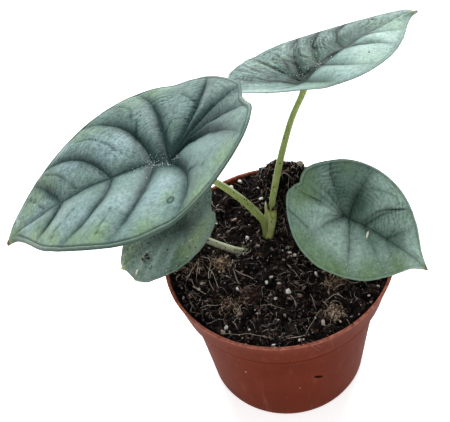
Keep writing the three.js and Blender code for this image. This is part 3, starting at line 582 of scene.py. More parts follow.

# %% [markdown]
# ### Veins, creases and colour patches
#
# Close up, a vein is a wide soft dark valley that fades towards the margin. Its dark colour
# is partly the vein's own dark green and partly painted shade in the valley. Small creases
# branch off it, and a rolled rim runs round the margin. Each is a distance to a line in
# the plan. Silvery, green and shaded patches, and lifts of the blade, are round spots with
# soft edges: place x, place y, reach, strength. The silvery patches are partly the leaf's
# own bloom and partly a painted sheen, and the shaded ones are painted shade. A fade is a
# vein's strength at five steps from root to end, and quiet holds shares of it for single
# veins, named by side and number. Dust is place x, place y, reach and a number of grains,
# and a crumb is a place and a radius. The far half is the one that leans away from the
# viewer: 1 for the right half of the plan, -1 for the left. Dusk is painted shade on the
# far half, given at the lobes and towards the tip.

# %% Marks on each leaf
MARKS = {
    "left": dict(
        far=1, hub_share=0.75, crease_share=0.7, crease_width=0.6, vein_width=2.5, valley_shade=0.4, ragged=0.1,
        crepe=1.3, dusk=(0, 0.08), ring=(-32.9, -4.4), lift=[], fullness=(0.8, 0.8, 1),
        rim=dict(far=(1.1, 0.5), near=(1.7, 1.0)), wrinkle=dict(far=1.4, near=0.35, across=0.75),
        fades=dict(mid=(0.9, 0.8, 0.7, 0.5, 0.1), far=(0.95, 0.95, 0.85, 0.65, 0.15),
                   near=(1, 0.95, 0.9, 0.75, 0.2)),
        quiet={(1, 5): (1.1, 1.25, 1.4, 1.5, 1.3)},
        creases=[[(25, 73), (17, 62), (12, 57), (3, 50)], [(16, 87), (15, 81), (3, 70)],
            [(35, 54), (26, 38), (19, 31), (6, 18)], [(47, 31), (39, 20), (29, 18)],
            [(29, 15), (20, 16), (6, 17)], [(32, -6), (24, -4), (17, 0)], [(37, -9), (25, -17)],
            [(-14, 48), (-20, 58), (-25, 62)], [(-26, 26), (-34, 32), (-38, 34)], [(-20, -14), (-27, -24)]],
        silver=[(-26, 7, 9, 0.85), (-22, -1, 8, 0.85), (-36, -9, 8, 0.6), (-33, 16, 8, 0.65),
            (-20, 42, 8, 0.75), (-28, 35, 7, 0.4), (-17, 57, 7, 0.7), (-14, -24, 8, 0.5),
            (-24, -33, 8, 0.3), (16, 27, 8, 0.9), (17, 34, 6, 0.6), (19, 51, 7, 0.8), (21, 59, 6, 0.7),
            (20, 20, 6, 0.6), (-22, 24, 8, 0.75), (33, 38, 7, 0.6), (17, 27, 7, 0.6), (27, -9, 7, 0.5),
            (6, 70, 6, 0.5), (-6, 83, 8, 1), (3, 85, 6, 0.6), (4, 76, 7, 0.5), (-24, 46, 6, 0.5),
            (36, 58, 7, 0.5), (23, 42, 6, 0.6), (48, 16, 5, 0.7), (-35, -24, 6, 0.7)],
        green=[(-3, 89, 6, 0.8), (-14, 77, 7, 0.9), (-26, 61, 5.5, 0.8), (-38, 33, 6, 0.9),
            (17, 72, 8, 0.7), (46, 20, 8, 0.4), (52, 0, 6, 0.5), (-30, -36, 7, 0.5), (-38, -20, 7, 0.6),
            (0, 93, 6, 0.5), (38, 48, 7, 0.5), (50, 10, 6, 0.6), (-45, 8, 7, 0.7), (-16, 66, 6, 0.6),
            (3, -20, 5, 0.6), (-30, -3, 4, 0.6), (-34, -30, 8, 0.3), (34, 36, 5, 0.4), (-33, 46, 6, 0.7),
            (8, 82, 7, 0.5), (-42, -14, 6, 0.6)],
        shade=[(45, -8, 8, 0.4), (24, -24, 8, 0.25), (14, -12, 7, 0.3), (5, -20, 8, 0.7), (2, -31, 8, 0.5),
            (0, 3, 9, 0.7), (42, 26, 8, 0.3), (10, 8, 8, 0.4), (-26, -47, 4, 0.4), (-22, -26, 12, 0.16),
            (-36, -16, 9, 0.12)],
        dust=[(0, 4, 5, 50), (-1, 11, 5, 26), (-3, -4, 4, 18)],
        crumbs=[(26, 38, 0.5), (31, 13, 0.45), (18, -11, 0.45)]),
    "upper": dict(
        far=-1, hub_share=0.55, crease_share=0.9, crease_width=0.7, vein_width=2.0, valley_shade=0.3, ragged=0.15,
        crepe=2.3, dusk=(0.05, 0.5), ring=None, lift=[(32, -9, 12, 2.4)], fullness=(1, 1.5, 0.45),
        rim=dict(far=(0.7, 0.2), near=(0.9, 0.4)), wrinkle=dict(far=2.0, near=0.3, across=0.25),
        fades=dict(mid=(1, 0.9, 0.7, 0.35, 0.1), far=(0.9, 0.6, 0.45, 0.8, 0.9),
                   near=(0.7, 0.55, 0.45, 0.35, 0.2)),
        quiet={(-1, 1): 0.15, (-1, 5): 0.3, (-1, 6): (0.6, 0.5, 0.35, 0.2, 0.1), (1, 5): 0.4, (1, 6): 0.4},
        creases=[[(-28, 1), (-14, 6), (-6, 4)], [(-30, -8), (-15, -5), (-1, 0)],
            [(-31, 19), (-25.5, 16.5), (-21, 12)], [(-28, 29), (-22.5, 26), (-17, 20), (-11, 20)],
            [(-25, 42), (-19, 39.5), (-15, 34), (-10, 31)], [(2, 2), (3, 14), (1, 26)],
            [(-24, -12), (-14, -9), (-4, -3)], [(-14, -18), (-9.5, -13), (-4, -6), (2, -1)],
            [(-2, 4), (-1, 15), (0, 24)], [(-33, 5), (-22, 4), (-12, 1)], [(-35, -4), (-24, -3), (-12, -2)],
            [(-17, -20), (-10, -14), (-3, -5)], [(-9, 12), (-15, 11), (-20, 14)],
            [(-32, -13), (-20, -9), (-8, -4)], [(-28, -19), (-18, -13), (-7, -6)],
            [(-23, 8), (-14, 9), (-6, 8)], [(-6, 22), (-12, 24), (-16, 28)]],
        silver=[(18, 34, 12, 0.8), (26, 25, 8, 0.7), (17, 15, 8, 0.4), (13, 47, 10, 0.8), (-3, -18, 5, 0.8),
            (-2, -9, 4, 0.6), (11, -29, 6, 0.7), (22, -24, 7, 0.7), (-29, -5, 8, 0.5), (-18, -11, 6, 0.4),
            (-31, 8, 7, 0.5), (-20, 18, 6, 0.5), (-12, 33, 6, 0.5), (-25, 14, 6, 0.4), (7, 58, 9, 0.7),
            (-12, 27, 5, 0.5), (-14, 13, 5, 0.5), (-19, 31, 5, 0.4), (-22, 8, 5, 0.4), (-30, -6, 5, 0.4),
            (2, 66, 6, 0.8), (30, 14, 7, 0.4), (-15, 44, 5, 0.4), (-10, 51, 7, 0.4), (-5, 60, 6, 0.5)],
        green=[(6, 56, 8, 0.5), (30, 28, 8, 0.4), (-8, 14, 6, 0.7), (16, -8, 6, 0.4), (26, -2, 6, 0.5),
            (-20, 6, 5, 0.6), (-26, -6, 5, 0.6), (-5, 50, 6, 0.5)],
        shade=[(10, -22, 9, 0.35), (27, 2, 7, 0.3), (-11, -19, 4, 0.7), (-6, -12, 4, 0.6), (-30, 0, 5, 0.3),
            (-12, 4, 7, 0.6), (-12, -4, 7, 0.4), (-4, 3, 6, 1), (-20, 16, 5, 0.5), (-1, 12, 6, 1),
            (-2, 24, 5, 0.8), (-14, 21, 4, 0.4), (-8, -18, 7, 0.6), (2, -2, 5, 0.8), (-24, 24, 4, 0.5),
            (-8, 28, 6, 0.4), (-4, 36, 5, 0.6), (-20, 38, 4, 0.4), (-5, 44, 5, 0.5), (-6, 30, 5, 0.5)],
        dust=[(-4, 4, 4, 18), (-1, 12, 3, 20), (-1, 20, 3, 16), (-20, 2, 9, 34), (-26, -8, 7, 28),
            (-22, 20, 8, 22)],
        crumbs=[(23, 29, 0.5)]),
    "right": dict(
        far=-1, hub_share=0.1, crease_share=0.6, crease_width=0.6, vein_width=2.1, valley_shade=0.5, ragged=0.12,
        crepe=1.0, dusk=(0.25, 0.1), ring=None, lift=[], fullness=(1.8, 1.2, 0.7),
        rim=dict(far=(1.1, 0.5), near=(0.8, 0.35)), wrinkle=dict(far=1.6, near=0.6, across=0.6),
        fades=dict(mid=(0.9, 0.85, 0.8, 0.45, 0), far=(0.95, 0.7, 0.5, 0.35, 0.1),
                   near=(0.65, 0.45, 0.33, 0.22, 0.08)),
        quiet={(-1, 3): (1, 1.3, 1.6, 1.3, 1), (-1, 4): (0.7, 0.5, 0.4, 0.3, 0.2), (-1, 5): 0.35,
            (-1, 6): 0.15, (1, 3): (1.2, 1.5, 1.8, 2, 1), (1, 4): (1.2, 1.3, 1.4, 1.2, 0.5), (1, 5): 0.3,
            (1, 6): 0.45},
        creases=[[(16, -29), (17, -22), (18, -16)], [(3.6, -30.5), (4, -27), (3, -22), (1.5, -15)],
            [(-1.5, 9.5), (-11, 15.5), (-19, 27.5)], [(-19, 7), (-21, 14), (-22, 20)],
            [(-20, -19), (-15, -17), (-10, -12)]],
        silver=[(14, -3, 8, 1), (12, -10, 7, 1), (15, 6, 7, 0.9), (10, -22, 6, 0.6), (17, 12, 7, 0.6),
            (10, 25, 5, 0.5), (-8, 36, 6, 0.6), (-13, -15, 6, 0.4), (-24, 16, 5, 0.6), (-25, 10, 5, 0.6),
            (21, 11, 6, 0.4), (3, -5, 5, 0.6), (6, 2, 6, 0.7), (6, -11, 5, 0.6), (-21, 24, 6, 1),
            (0, 46, 8, 1), (2, 38, 6, 0.7), (-11, 32, 6, 0.8), (-12, -7, 7, 0.4), (-14, 14, 6, 0.5),
            (-22, 22, 6, 0.5), (-2, -24, 5, 0.6), (-9, 18, 7, 0.4), (-26, 6, 5, 0.5), (-9, -17, 5, 0.4)],
        green=[(29, -3, 8, 0.9), (26, -17, 7, 0.8), (30, 9, 7, 0.9), (22, 24, 8, 0.9), (7, 37, 6, 0.8),
            (2, 48, 5, 0.3), (14, 34, 7, 0.4), (-23, -11, 6, 0.5), (-4, -27, 7, 0.8), (-26, 21, 5, 0.5),
            (1.5, -23, 4.5, 1), (9, -26, 6, 0.7), (-16, 30, 5, 0.4)],
        shade=[(-13, -13.5, 4.5, 0.6), (-18, -15.5, 4, 0.45), (-8, -8, 5, 0.6), (-13, -2, 7, 0.5),
            (-8, 6, 6, 0.5), (-6, 2, 6, 0.5), (-5, 31, 5, 0.5), (0, 22, 5, 0.2)],
        dust=[(24, 8, 5, 14), (12, 30, 6, 16)],
        crumbs=[(-1, 24, 0.3), (7, 15.5, 0.45)]),
    "low": dict(
        far=1, hub_share=0.55, crease_share=0.5, crease_width=0.6, vein_width=2.2, valley_shade=0.6, ragged=0.45,
        crepe=2.1, dusk=(0, 0), ring=None, lift=[], fullness=(2.2, 1.6, 0.6),
        rim=dict(far=(0.8, 0.2), near=(0.6, 0.25)), wrinkle=dict(far=0.8, near=0.8, across=0.4),
        fades=dict(mid=(0.6, 0.4, 0.2, 0.1, 0), far=(0.6, 0.2, 0.1, 0.05, 0), near=(0.5, 0.15, 0.1, 0.05, 0)),
        quiet={(s, n): 0.3 for s in (1, -1) for n in (3, 4, 5, 6)},
        creases=[[(-2, -8), (-6, -13), (-10, -19)], [(10, 22), (14, 27)], [(-12, -4), (-17, -6)]],
        silver=[(-14, 18, 8, 0.6), (-14, 25, 7, 0.6), (-6, 33, 6, 0.4)],
        green=[(-12, -10, 7, 1), (-17, -2, 6, 0.9), (-10, -18, 6, 0.7), (1, 44, 5, 1), (7, 35, 6, 0.8),
            (-14, 34, 5, 0.5)],
        shade=[(0, 0, 9, 0.9), (2, 7, 8, 0.7), (-3, -7, 6, 0.6), (-2, -14, 5, 0.4), (2, 16, 7, 0.5),
            (-20, 4, 5, 0.3)],
        dust=[(-6, 20, 10, 6), (-12, -6, 8, 7), (-20, 2, 5, 4), (-22, 10, 5, 3)],
        crumbs=[(-5.5, 27.5, 1.2), (-5, 23.5, 1.1), (-6.8, 23.2, 1.3), (-6, 25, 1.0), (-7.5, 26, 0.7),
            (-4.2, 25.2, 0.8), (-3.5, 22, 0.45), (-9, 9.5, 0.6), (-14, 22.7, 0.6), (-13.6, 21.6, 0.55),
            (-23, 8.5, 0.55), (-22, 3.5, 0.55), (-15, -4, 0.35), (-21, -3, 0.35), (-19, -9, 0.35),
            (-22.5, 13, 0.3), (-17, 3, 0.25), (-18, 12, 0.25)]),
}
FADE_STEPS = (0, 0.25, 0.5, 0.75, 1)
print("creases:", {name: len(marks["creases"]) for name, marks in MARKS.items()})

# %% Fields of a blade
FULL_LENGTH = LEAVES["left"]["length"]
VEIN_STEPS = 26
MARGIN_STEPS = 150
VALLEY_REACH = 2.4
FINE_LINE = 0.45
WAVE_APART = 2.2
WAVES_PER_PANEL = 7


def vein_curves(leaf, marks):
    """Each vein and the midrib as plan points, with its strength at each point."""
    steps = np.linspace(0, 0.99, VEIN_STEPS)
    curves = [(np.stack([0 * steps, leaf["length"] * steps], axis=1), marks["fades"]["mid"])]
    for side in (1, -1):
        fade = marks["fades"]["far" if side == marks["far"] else "near"]
        for number in range(1, PANELS):
            x, y = plan_points(leaf, side, np.full(steps.shape, float(number)), steps)
            share = marks["quiet"].get((side, number), 1)
            curves.append((np.stack([x, y], axis=1), np.array(fade) * share))
    return [(curve, np.interp(steps, FADE_STEPS, fade)) for curve, fade in curves]


def heights(x, y, places):
    """Sum of soft round bumps: strength * exp(-(distance / reach) squared)."""
    total = np.zeros(x.shape)
    for px, py, reach, strength in places:
        total += strength * np.exp(-((x - px) ** 2 + (y - py) ** 2) / reach ** 2)
    return total


def spots(x, y, places):
    """The same sum as a share, at most 1."""
    return np.clip(heights(x, y, places), 0, 1)


def margin_distance(leaf, x, y):
    """Distance in the plan to the margin, drawn as a fine closed path."""
    place = np.linspace(0, len(leaf["right"]) - 1, MARGIN_STEPS)
    right = margin_points(leaf["right"], leaf["left"], place)
    left = margin_points(leaf["left"], leaf["right"], place) * np.array([-1, 1])
    return nearest_on_path(x, y, np.vstack([right, left[::-1]]))[0]


def vein_fields(leaf, marks, x, y, hub):
    """Distance to the nearest vein, the veins as a dark band in a wide faint one, and their
    fine lines. The wide faint band is painted shade in the valley beside each vein. A band is
    exp(-(distance / reach) squared), and its reach grows at the hub."""
    reach = marks["vein_width"] * (0.85 + 0.75 * np.exp(-hub / (20 * leaf["length"] / FULL_LENGTH)))
    valley_shade = marks["valley_shade"]
    near_vein, vein, line = np.full(x.shape, 1e9), np.zeros(x.shape), np.zeros(x.shape)
    for curve, strengths in vein_curves(leaf, marks):
        apart, strength = nearest_on_path(x, y, curve, strengths)
        near_vein = np.minimum(near_vein, apart)
        # The wide faint band is painted shade in the valley beside the vein.
        wide = np.exp(-(apart / reach / VALLEY_REACH) ** 2)
        band = np.exp(-(apart / reach) ** 2) * (1 - valley_shade) + valley_shade * wide
        vein = np.maximum(vein, strength * band)
        line = np.maximum(line, strength * np.exp(-(apart / FINE_LINE) ** 2))
    return near_vein, vein, line


def crease_field(marks, x, y):
    """The creases as one broken band, worked out as the veins are."""
    crease = np.zeros(x.shape)
    broken = np.clip(1 + 0.8 * noise(x, y, 4, 2), 0, 1)
    for path in marks["creases"]:
        apart = nearest_on_path(x, y, smooth_path(path, 14))[0]
        crease = np.maximum(crease, broken * np.exp(-(apart / marks["crease_width"]) ** 2))
    return crease


def rim_fields(marks, edge, far):
    """The rolled rim by the distance to the margin: its width, its ridge, and the seams on
    either side of it."""
    rim = marks["rim"]
    width, strength = (partway(near, away, far) for near, away in zip(rim["near"], rim["far"]))
    seam = np.exp(-((edge - width - 0.2) / 0.5) ** 2) + 0.5 * np.exp(-(edge / 0.3) ** 2)
    return dict(rim=strength * (1 - step(edge, width - 0.5, width + 0.2)),
                ridge=strength * np.exp(-((edge - 0.55 * width) / (0.3 * width)) ** 2),
                seam=strength * seam)


def wrinkles(marks, x, y, column, row, far):
    """Fine sine waves: some run round the hub and some along the panels. Both waver and come
    and go by noise."""
    kind = marks["wrinkle"]
    waver = 1.8 * noise(x, y, 7, 3) + 0.9 * noise(x, y, 3, 5)
    across = np.sin(2 * np.pi * (np.hypot(x, y) + waver) / WAVE_APART)
    along = np.sin(2 * np.pi * (column * WAVES_PER_PANEL + 0.45 * waver))
    patchy = np.clip(0.5 + 0.75 * noise(x, y, 8, 8), 0, 1)
    strength = partway(kind["near"], kind["far"], far)
    return strength * patchy * (kind["across"] * across + (1 - kind["across"]) * along * step(row, 0.03, 0.3))


def blade_fields(name, leaf, x, y, column, row):
    """Everything that the shape and the finish need to know at each plan point."""
    marks = MARKS[name]
    scale = leaf["length"] / FULL_LENGTH
    hub = np.hypot(x, y)
    far = 0.5 + 0.5 * np.tanh(marks["far"] * x / 4)
    near_vein, vein, line = vein_fields(leaf, marks, x, y, hub)
    edge = margin_distance(leaf, x, y)
    # The silvery patches are partly the leaf's own bloom and partly a painted sheen.
    silver = spots(x, y, marks["silver"])
    # Dusk is painted shade on the far half, weaker where the silvery sheen lies.
    dusk = np.interp(y / leaf["length"], (-0.3, 0.6), marks["dusk"]) * far * (1 - 0.5 * silver)
    return dict(
        rim_fields(marks, edge, far), lift=heights(x, y, marks["lift"]), near_vein=near_vein,
        vein=vein, line=line, crease=crease_field(marks, x, y), edge=edge, far=far,
        wrinkle=wrinkles(marks, x, y, column, row, far) * np.clip(edge / 5, 0, 1),
        hub=np.exp(-(hub / (6 * scale + 1)) ** 2), reach=hub, turn=column,
        silver=silver, green=spots(x, y, marks["green"]),
        shade=np.clip(dusk + spots(x, y, marks["shade"]), 0, 1),
        tip=np.exp(-(((y - leaf["length"]) / 3.2) ** 2 + (x / 2.5) ** 2)))


print("midrib and veins of a blade:", len(vein_curves(LEAVES["left"], MARKS["left"])))

# %% [markdown]
# These fields are plain numbers, one for each point. The relief turns them into a height
# in millimetres, and the finish will read them as masks.

# %% Relief of a blade
DIMPLE_REACH = 7


def pillows(leaf, column, row, fullness):
    """The quilting: a half sine wave across each panel, a quarter wave across the last one,
    times a half wave along it. Each wave is raised to a power, and a third number is the
    share that the panels of the lobes keep."""
    i = np.minimum(column.astype(int), PANELS - 1)
    turn = np.where(i == PANELS - 1, np.pi / 2, np.pi)
    across = np.clip(np.sin(turn * np.clip(column - i, 0, 1)), 0, 1) ** fullness[0]
    along = np.clip(np.sin(np.pi * row ** 0.8), 0, 1) ** fullness[1]
    return leaf["relief"] * PILLOW_SHARES[i] * across * along * np.where(i < FRONT_PANELS, 1, fullness[2])


def relief(name, leaf, x, y, column, row, fields, under):
    """Height over the bent sheet: pillows between the veins, grooves, a rolled rim, wrinkles,
    and on the underside ribs that stand down along the veins."""
    pillow = pillows(leaf, column, row, MARKS[name]["fullness"])
    dip = leaf["dimple"] * np.exp(-(x * x + y * y) / DIMPLE_REACH ** 2)
    scale = leaf["length"] / FULL_LENGTH
    inward = np.clip(fields["edge"] / 4, 0, 1)
    groove = (0.25 * fields["line"] + 0.5 * scale * fields["vein"]) * (1 - fields["hub"]) * inward
    crease = (0.2 + 0.15 * scale) * fields["crease"]
    rolled = 0.15 * fields["rim"] + 0.35 * fields["ridge"] - 0.5 * fields["seam"]
    lumps = (0.35 * scale * noise(x, y, 6, 11) + 0.12 * noise(x, y, 2.6, 12)) * inward
    top = pillow - dip - groove - crease + scale * rolled + 0.17 * fields["wrinkle"] + lumps
    top = top - leaf["margin_drop"] * row ** 5 + fields["lift"]
    rib = (0.35 + 0.75 * scale) * np.exp(-(fields["near_vein"] / (0.5 + 0.55 * scale)) ** 2)
    rib = rib * np.clip(fields["edge"] / 9, 0, 1) ** 0.5
    return np.where(under, top - 0.5 * lumps - rib + 0.5 * groove, top)


print("pillow heights of the left blade:", (LEAVES["left"]["relief"] * PILLOW_SHARES).round(1))

# %% [markdown]
# ### A closed blade from one grid
#
# The grid goes along the top from the midrib to the margin, round the edge in a half
# circle and back to the midrib below. Points that fall together at the hub, the tip and
# the midrib get one number, so the blade is one closed skin with no seam.

# %% Build the blades
EDGE_TURNS = np.radians([30, 60, 90, 120, 150])
DETAIL = {"left": (28, 104), "upper": (22, 80), "right": (20, 78), "low": (14, 54)}
BLADE_THICKNESS = 0.6
STORED = ("vein", "line", "crease", "wrinkle", "rim", "ridge", "seam", "far", "hub", "silver", "green",
          "shade", "tip", "reach", "turn")


def blade_grid(steps, rows):
    """Side, column, row, level (1 top, -1 underside) and outward push of every grid point."""
    shares = crowded(steps, 0.55)[:-1]
    half = np.concatenate([panel + shares for panel in range(PANELS)] + [[PANELS]])
    column = np.concatenate([half, half[-2::-1]])
    side = np.concatenate([np.ones(len(half)), -np.ones(len(half) - 1)])
    out = crowded(rows, 0.45)
    row = np.concatenate([out, np.ones(len(EDGE_TURNS)), out[::-1]])
    level = np.concatenate([np.ones(rows + 1), np.cos(EDGE_TURNS), -np.ones(rows + 1)])
    push = np.concatenate([np.zeros(rows + 1), np.sin(EDGE_TURNS), np.zeros(rows + 1)])
    spread = np.broadcast_arrays(side[:, None], column[:, None], row, level, push)
    return [np.array(values, float) for values in spread]


def shared_numbers(steps, rows):
    """One number for grid points that fall together: the midrib of both halves, the hub of
    all lobe columns, the tip, and the first and last station."""
    stations, lines = 2 * PANELS * steps + 1, 2 * (rows + 1) + len(EDGE_TURNS)
    number = np.arange(stations * lines).reshape(stations, lines)
    last = stations - 1
    hub = FRONT_PANELS * steps
    for line in (0, lines - 1):
        number[:, line] = np.minimum(number[:, line], number[::-1, line])
        number[hub:last - hub + 1, line] = number[hub, line]
    number[last] = number[0]
    number[[0, last], :rows + 1] = number[0, 0]
    number[[0, last], lines - rows - 1:] = number[0, lines - 1]
    return number


def skin(number):
    """Quads of the grid, and a triangle where one side of a quad has shrunk to a point."""
    corners = np.stack([number[:-1, :-1], number[:-1, 1:], number[1:, 1:], number[1:, :-1]], axis=-1)
    corners = corners.reshape(-1, 4)
    apart = corners != np.roll(corners, -1, axis=1)
    sides = apart.sum(axis=1)
    triangles = [np.delete(corners, k, axis=1)[(sides == 3) & ~apart[:, k]] for k in (3, 1, 0, 2)]
    return corners[sides == 4], np.vstack(triangles)


def pushed_out(name, x, y, row, push, rows):
    """The plan places moved outwards at right angles to the margin: round the edge by half the
    thickness, and near the margin by noise, which makes it ragged."""
    margin_x, margin_y = x[:, rows], y[:, rows]
    along_x, along_y = np.gradient(margin_x), np.gradient(margin_y)
    size = np.hypot(along_x, along_y) + 1e-9
    out_x, out_y = (-along_y / size)[:, None], (along_x / size)[:, None]
    uneven = noise(margin_x, margin_y, 5, 61) + 0.7 * noise(margin_x, margin_y, 1.8, 62)
    uneven *= MARKS[name]["ragged"]
    out = push * (BLADE_THICKNESS / 2) + uneven[:, None] * row ** 6
    return x + out * out_x, y + out * out_y


def blade_piece(name):
    """The blade, the plan places of its top's grid points, and those points in the room."""
    leaf = LEAVES[name]
    steps, rows = DETAIL[name]
    side, column, row, level, push = blade_grid(steps, rows)
    right, left = plan_points(leaf, 1, column, row), plan_points(leaf, -1, column, row)
    x, y = (np.where(side > 0, r, l) for r, l in zip(right, left))
    x = np.where(row == 0, 0.0, x)
    fields = blade_fields(name, leaf, x, y, column, row)
    height = relief(name, leaf, x, y, column, row, fields, level < 0) + BLADE_THICKNESS / 2 * level
    points = bent(leaf, *pushed_out(name, x, y, row, push, rows), height)
    number = shared_numbers(steps, rows)
    used, packed = np.unique(number, return_inverse=True)
    quads, triangles = skin(packed.reshape(number.shape))
    plan = np.stack([x, y], axis=-1)
    layers = {key: np.broadcast_to(fields[key], x.shape).reshape(-1)[used] for key in STORED}
    layers["under"] = (level < 0).reshape(-1)[used]
    piece = piece_from(f"leaf_{name}", points.reshape(-1, 3)[used], quads, triangles, layers,
                       plan.reshape(-1, 2)[used])
    return piece, plan[:, :rows + 1].reshape(-1, 2), points[:, :rows + 1].reshape(-1, 3)


blades = {}
blade_tops = {}
for name in LEAVES:
    blades[name], *blade_tops[name] = blade_piece(name)
    keep(blades[name], f"blade_{name}", "leaf_silver" if name in ("left", "upper") else "leaf_green")

# %% [markdown]
# ### The leaf finish
#
# The blade is a cool grey-green under a silvery bloom, with a painted sheen over part of it.
# Colour gathers dark green along the veins and at the hub, with painted shade in the vein
# valleys, the creases, the hub's dimple and over the far half, and painted light and shade
# on the wrinkles. It turns yellow-green in patches near the margin, and ends in a paler
# rolled rim with a painted highlight on its ridge and painted shade in its seams. The marks
# stored on the points steer all of it, and noise breaks every edge up. The underside is
# duller, with light ribs.

# %% Leaf finish
LEAF_COLOURS = {
    "left": dict(finish="leaf_left_bloom", body="768f86", bloom_and_sheen="90a9a9", cool="7890a4", green="84a07a",
                 dusk="405a58", deep="1f3a38", rim="4d6155", near_tip="8a965c", tip="54402e",
                 vein_share=1.05, line_share=0.1, grime=0.1),
    "upper": dict(finish="leaf_upper_bloom", body="74918a", bloom_and_sheen="a0bab0", cool="7b8f8d", green="7b9a7a",
                  dusk="4b675d", deep="20352d", rim="6c7c73", near_tip="a3b389", tip="b3a59a",
                  vein_share=1.0, line_share=0.2, grime=0.35),
    "right": dict(finish="leaf_right_bloom", body="728f80", bloom_and_sheen="a5c1b5", cool="7b8f96", green="6f8d66",
                  dusk="4d695b", deep="233a32", rim="8ba590", near_tip="7d8f5c", tip="5e4a35",
                  vein_share=0.8, line_share=0.3, grime=0.05),
    "low": dict(finish="leaf_low_dull", body="5f756b", bloom_and_sheen="748a80", cool="617278", green="67805a",
                dusk="40504a", deep="2f403b", rim="7b8a70", near_tip="94a070", tip="97a27c",
                vein_share=0.6, line_share=0.0, grime=0.95),
}
BLISTER_RADIUS = 1.6


def crepe_lines(finish):
    """Fine cracks, darkened as painted shade in these small folds: some run round the hub and
    some from it, where two noises cross 0.5.
    """
    reach, turn, far = (finish.stored(key) for key in ("reach", "turn", "far"))
    rings = finish.woven(reach * 0.55, turn * 2.2, far * 4.0)
    rays = finish.woven(reach * 0.14, turn * 10.0, far * 4.0 + 9.0)
    cracks = (1.0 - abs(rings - 0.5) * 9.0).clipped() + 0.7 * (1.0 - abs(rays - 0.5) * 10.0).clipped()
    return cracks * (0.35 + 0.65 * far)


def blister(finish, place):
    """A small dark ring round a plan place, with a faint dark middle, read from the plan UV."""
    middle = (place[0] * UV_PER_MM, place[1] * UV_PER_MM, 0.0)
    apart = finish.add("ShaderNodeVectorMath", {"operation": "DISTANCE"},
                       {0: finish.place(source="UV"), 1: middle}, "Value") * (1 / UV_PER_MM)
    return (1.0 - abs(apart - BLISTER_RADIUS) * 1.2).clipped() + 0.5 * (1.0 - apart.between(0.8, 2.0))


def dark_lines(finish, name, blotch):
    """How dark the veins, creases and the hub make each place: the veins' own dark green with
    painted shade in their valleys, painted shade in the crease grooves, and at the hub its
    own dark green with painted shade in its dimple.
    """
    marks, colours = MARKS[name], LEAF_COLOURS[name]
    dark = finish.stored("vein") * colours["vein_share"] * (0.65 + 0.8 * blotch)
    dark = dark + colours["line_share"] * finish.stored("line")
    # Painted shade in the crease grooves and the hub's dimple, over the hub's own dark green.
    dark = dark + marks["crease_share"] * finish.stored("crease") + marks["hub_share"] * finish.stored("hub")
    if marks["ring"]:
        dark = dark + 0.75 * blister(finish, marks["ring"])
    return dark.clipped()


def underside(finish, fleck):
    """Dull green with light ribs along the veins."""
    ribs = (finish.stored("line") * 1.2 + finish.stored("vein") * 0.35).clipped()
    return finish.coats(paint("70806a"), ("8d9a7c", ribs), ("5f7059", (1.4 * (fleck - 0.4)).clipped()))


def margin_grime_highlight_and_shade(finish, name, colour, blotch, fleck):
    """Grime, most of it on the far half, then the rim with a painted highlight on its ridge and
    painted shade in the seams beside it, then the tip."""
    colours = LEAF_COLOURS[name]
    dirt = finish.speckle(1.3, finish.place(), 2.0, 0.5).between(0.58, 0.7)
    dirt = dirt * colours["grime"] * (0.3 + finish.stored("far") + 1.4 * (blotch - 0.5))
    tip = finish.stored("tip")
    return finish.coats(
        colour,
        ("26302a", dirt.clipped()),
        (colours["rim"], (finish.stored("rim") * 0.85).clipped()),
        # Painted highlight on the rim's ridge, then painted shade in the seams beside it.
        ("a9c2b0", (finish.stored("ridge") * 0.4 * (0.4 + fleck)).clipped()),
        (colours["deep"], (finish.stored("seam") * 0.75).clipped()),
        (colours["near_tip"], tip.between(0.02, 0.4) * 0.7),
        (colours["tip"], tip.between(0.3, 0.8)))


def leaf_finish(name):
    """Thin coats over the body colour, a fine light and dark grain, painted light on the
    wrinkle crests and painted shade in the cracks, the margin and the underside, on a surface
    with cracks and pores."""
    colours, crepe = LEAF_COLOURS[name], MARKS[name]["crepe"]
    finish = Finish(colours["finish"])
    where = finish.place()
    blotch = finish.speckle(6.0, where, 4.0, 0.62)
    drift = finish.speckle(11.0, where, 3.0, 0.6, 0.5)
    grain = finish.speckle(1.0, where, 4.0, 0.7)
    fleck = finish.speckle(2.2, where, 3.0, 0.6)
    cracks = crepe_lines(finish)
    colour = finish.coats(
        paint(colours["body"]),
        # Painted sheen and the leaf's own bloom: the pale bloom colour over the silvery patches.
        (colours["bloom_and_sheen"], (finish.stored("silver") * (0.35 + 1.2 * blotch)).clipped()),
        (colours["cool"], (1.6 * (drift - 0.48)).clipped() * 0.5),
        (colours["green"], (finish.stored("green") * (0.3 + 1.3 * blotch)).clipped()),
        # Painted shade: the dusk colour over the shaded patches and the far half.
        (colours["dusk"], (finish.stored("shade") * (0.55 + 0.8 * fleck)).clipped()),
        (colours["deep"], dark_lines(finish, name, blotch)))
    tone = 1.05 + 1.2 * (grain - 0.5) + 1.1 * (fleck - 0.5)
    # Painted light and shade: wrinkle crests lighter, the fine cracks darker.
    tone = tone + (0.11 + 0.09 * crepe) * finish.stored("wrinkle") - 0.17 * crepe * cracks
    colour = margin_grime_highlight_and_shade(finish, name, finish.toned(colour, tone), blotch, fleck)
    under = finish.stored("under")
    colour = finish.blend(colour, underside(finish, fleck), under)
    folds = finish.bump(0.0 - cracks, 0.5, 0.16, finish.bump(grain, 0.4, 0.18))
    pores = finish.bump(finish.speckle(0.45, where, 2.0, 0.5), 0.25, 0.06, folds)
    roughness = (0.42 + 0.2 * (grain - 0.5) + 0.1 * under).clipped()
    return finish.surface(Base_Color=colour, Roughness=roughness, Normal=pores, Specular_IOR_Level=0.18)


for name, blade in blades.items():
    dress(blade, leaf_finish(name))
print("leaf finishes:", [blade.data.materials[0].name for blade in blades.values()])

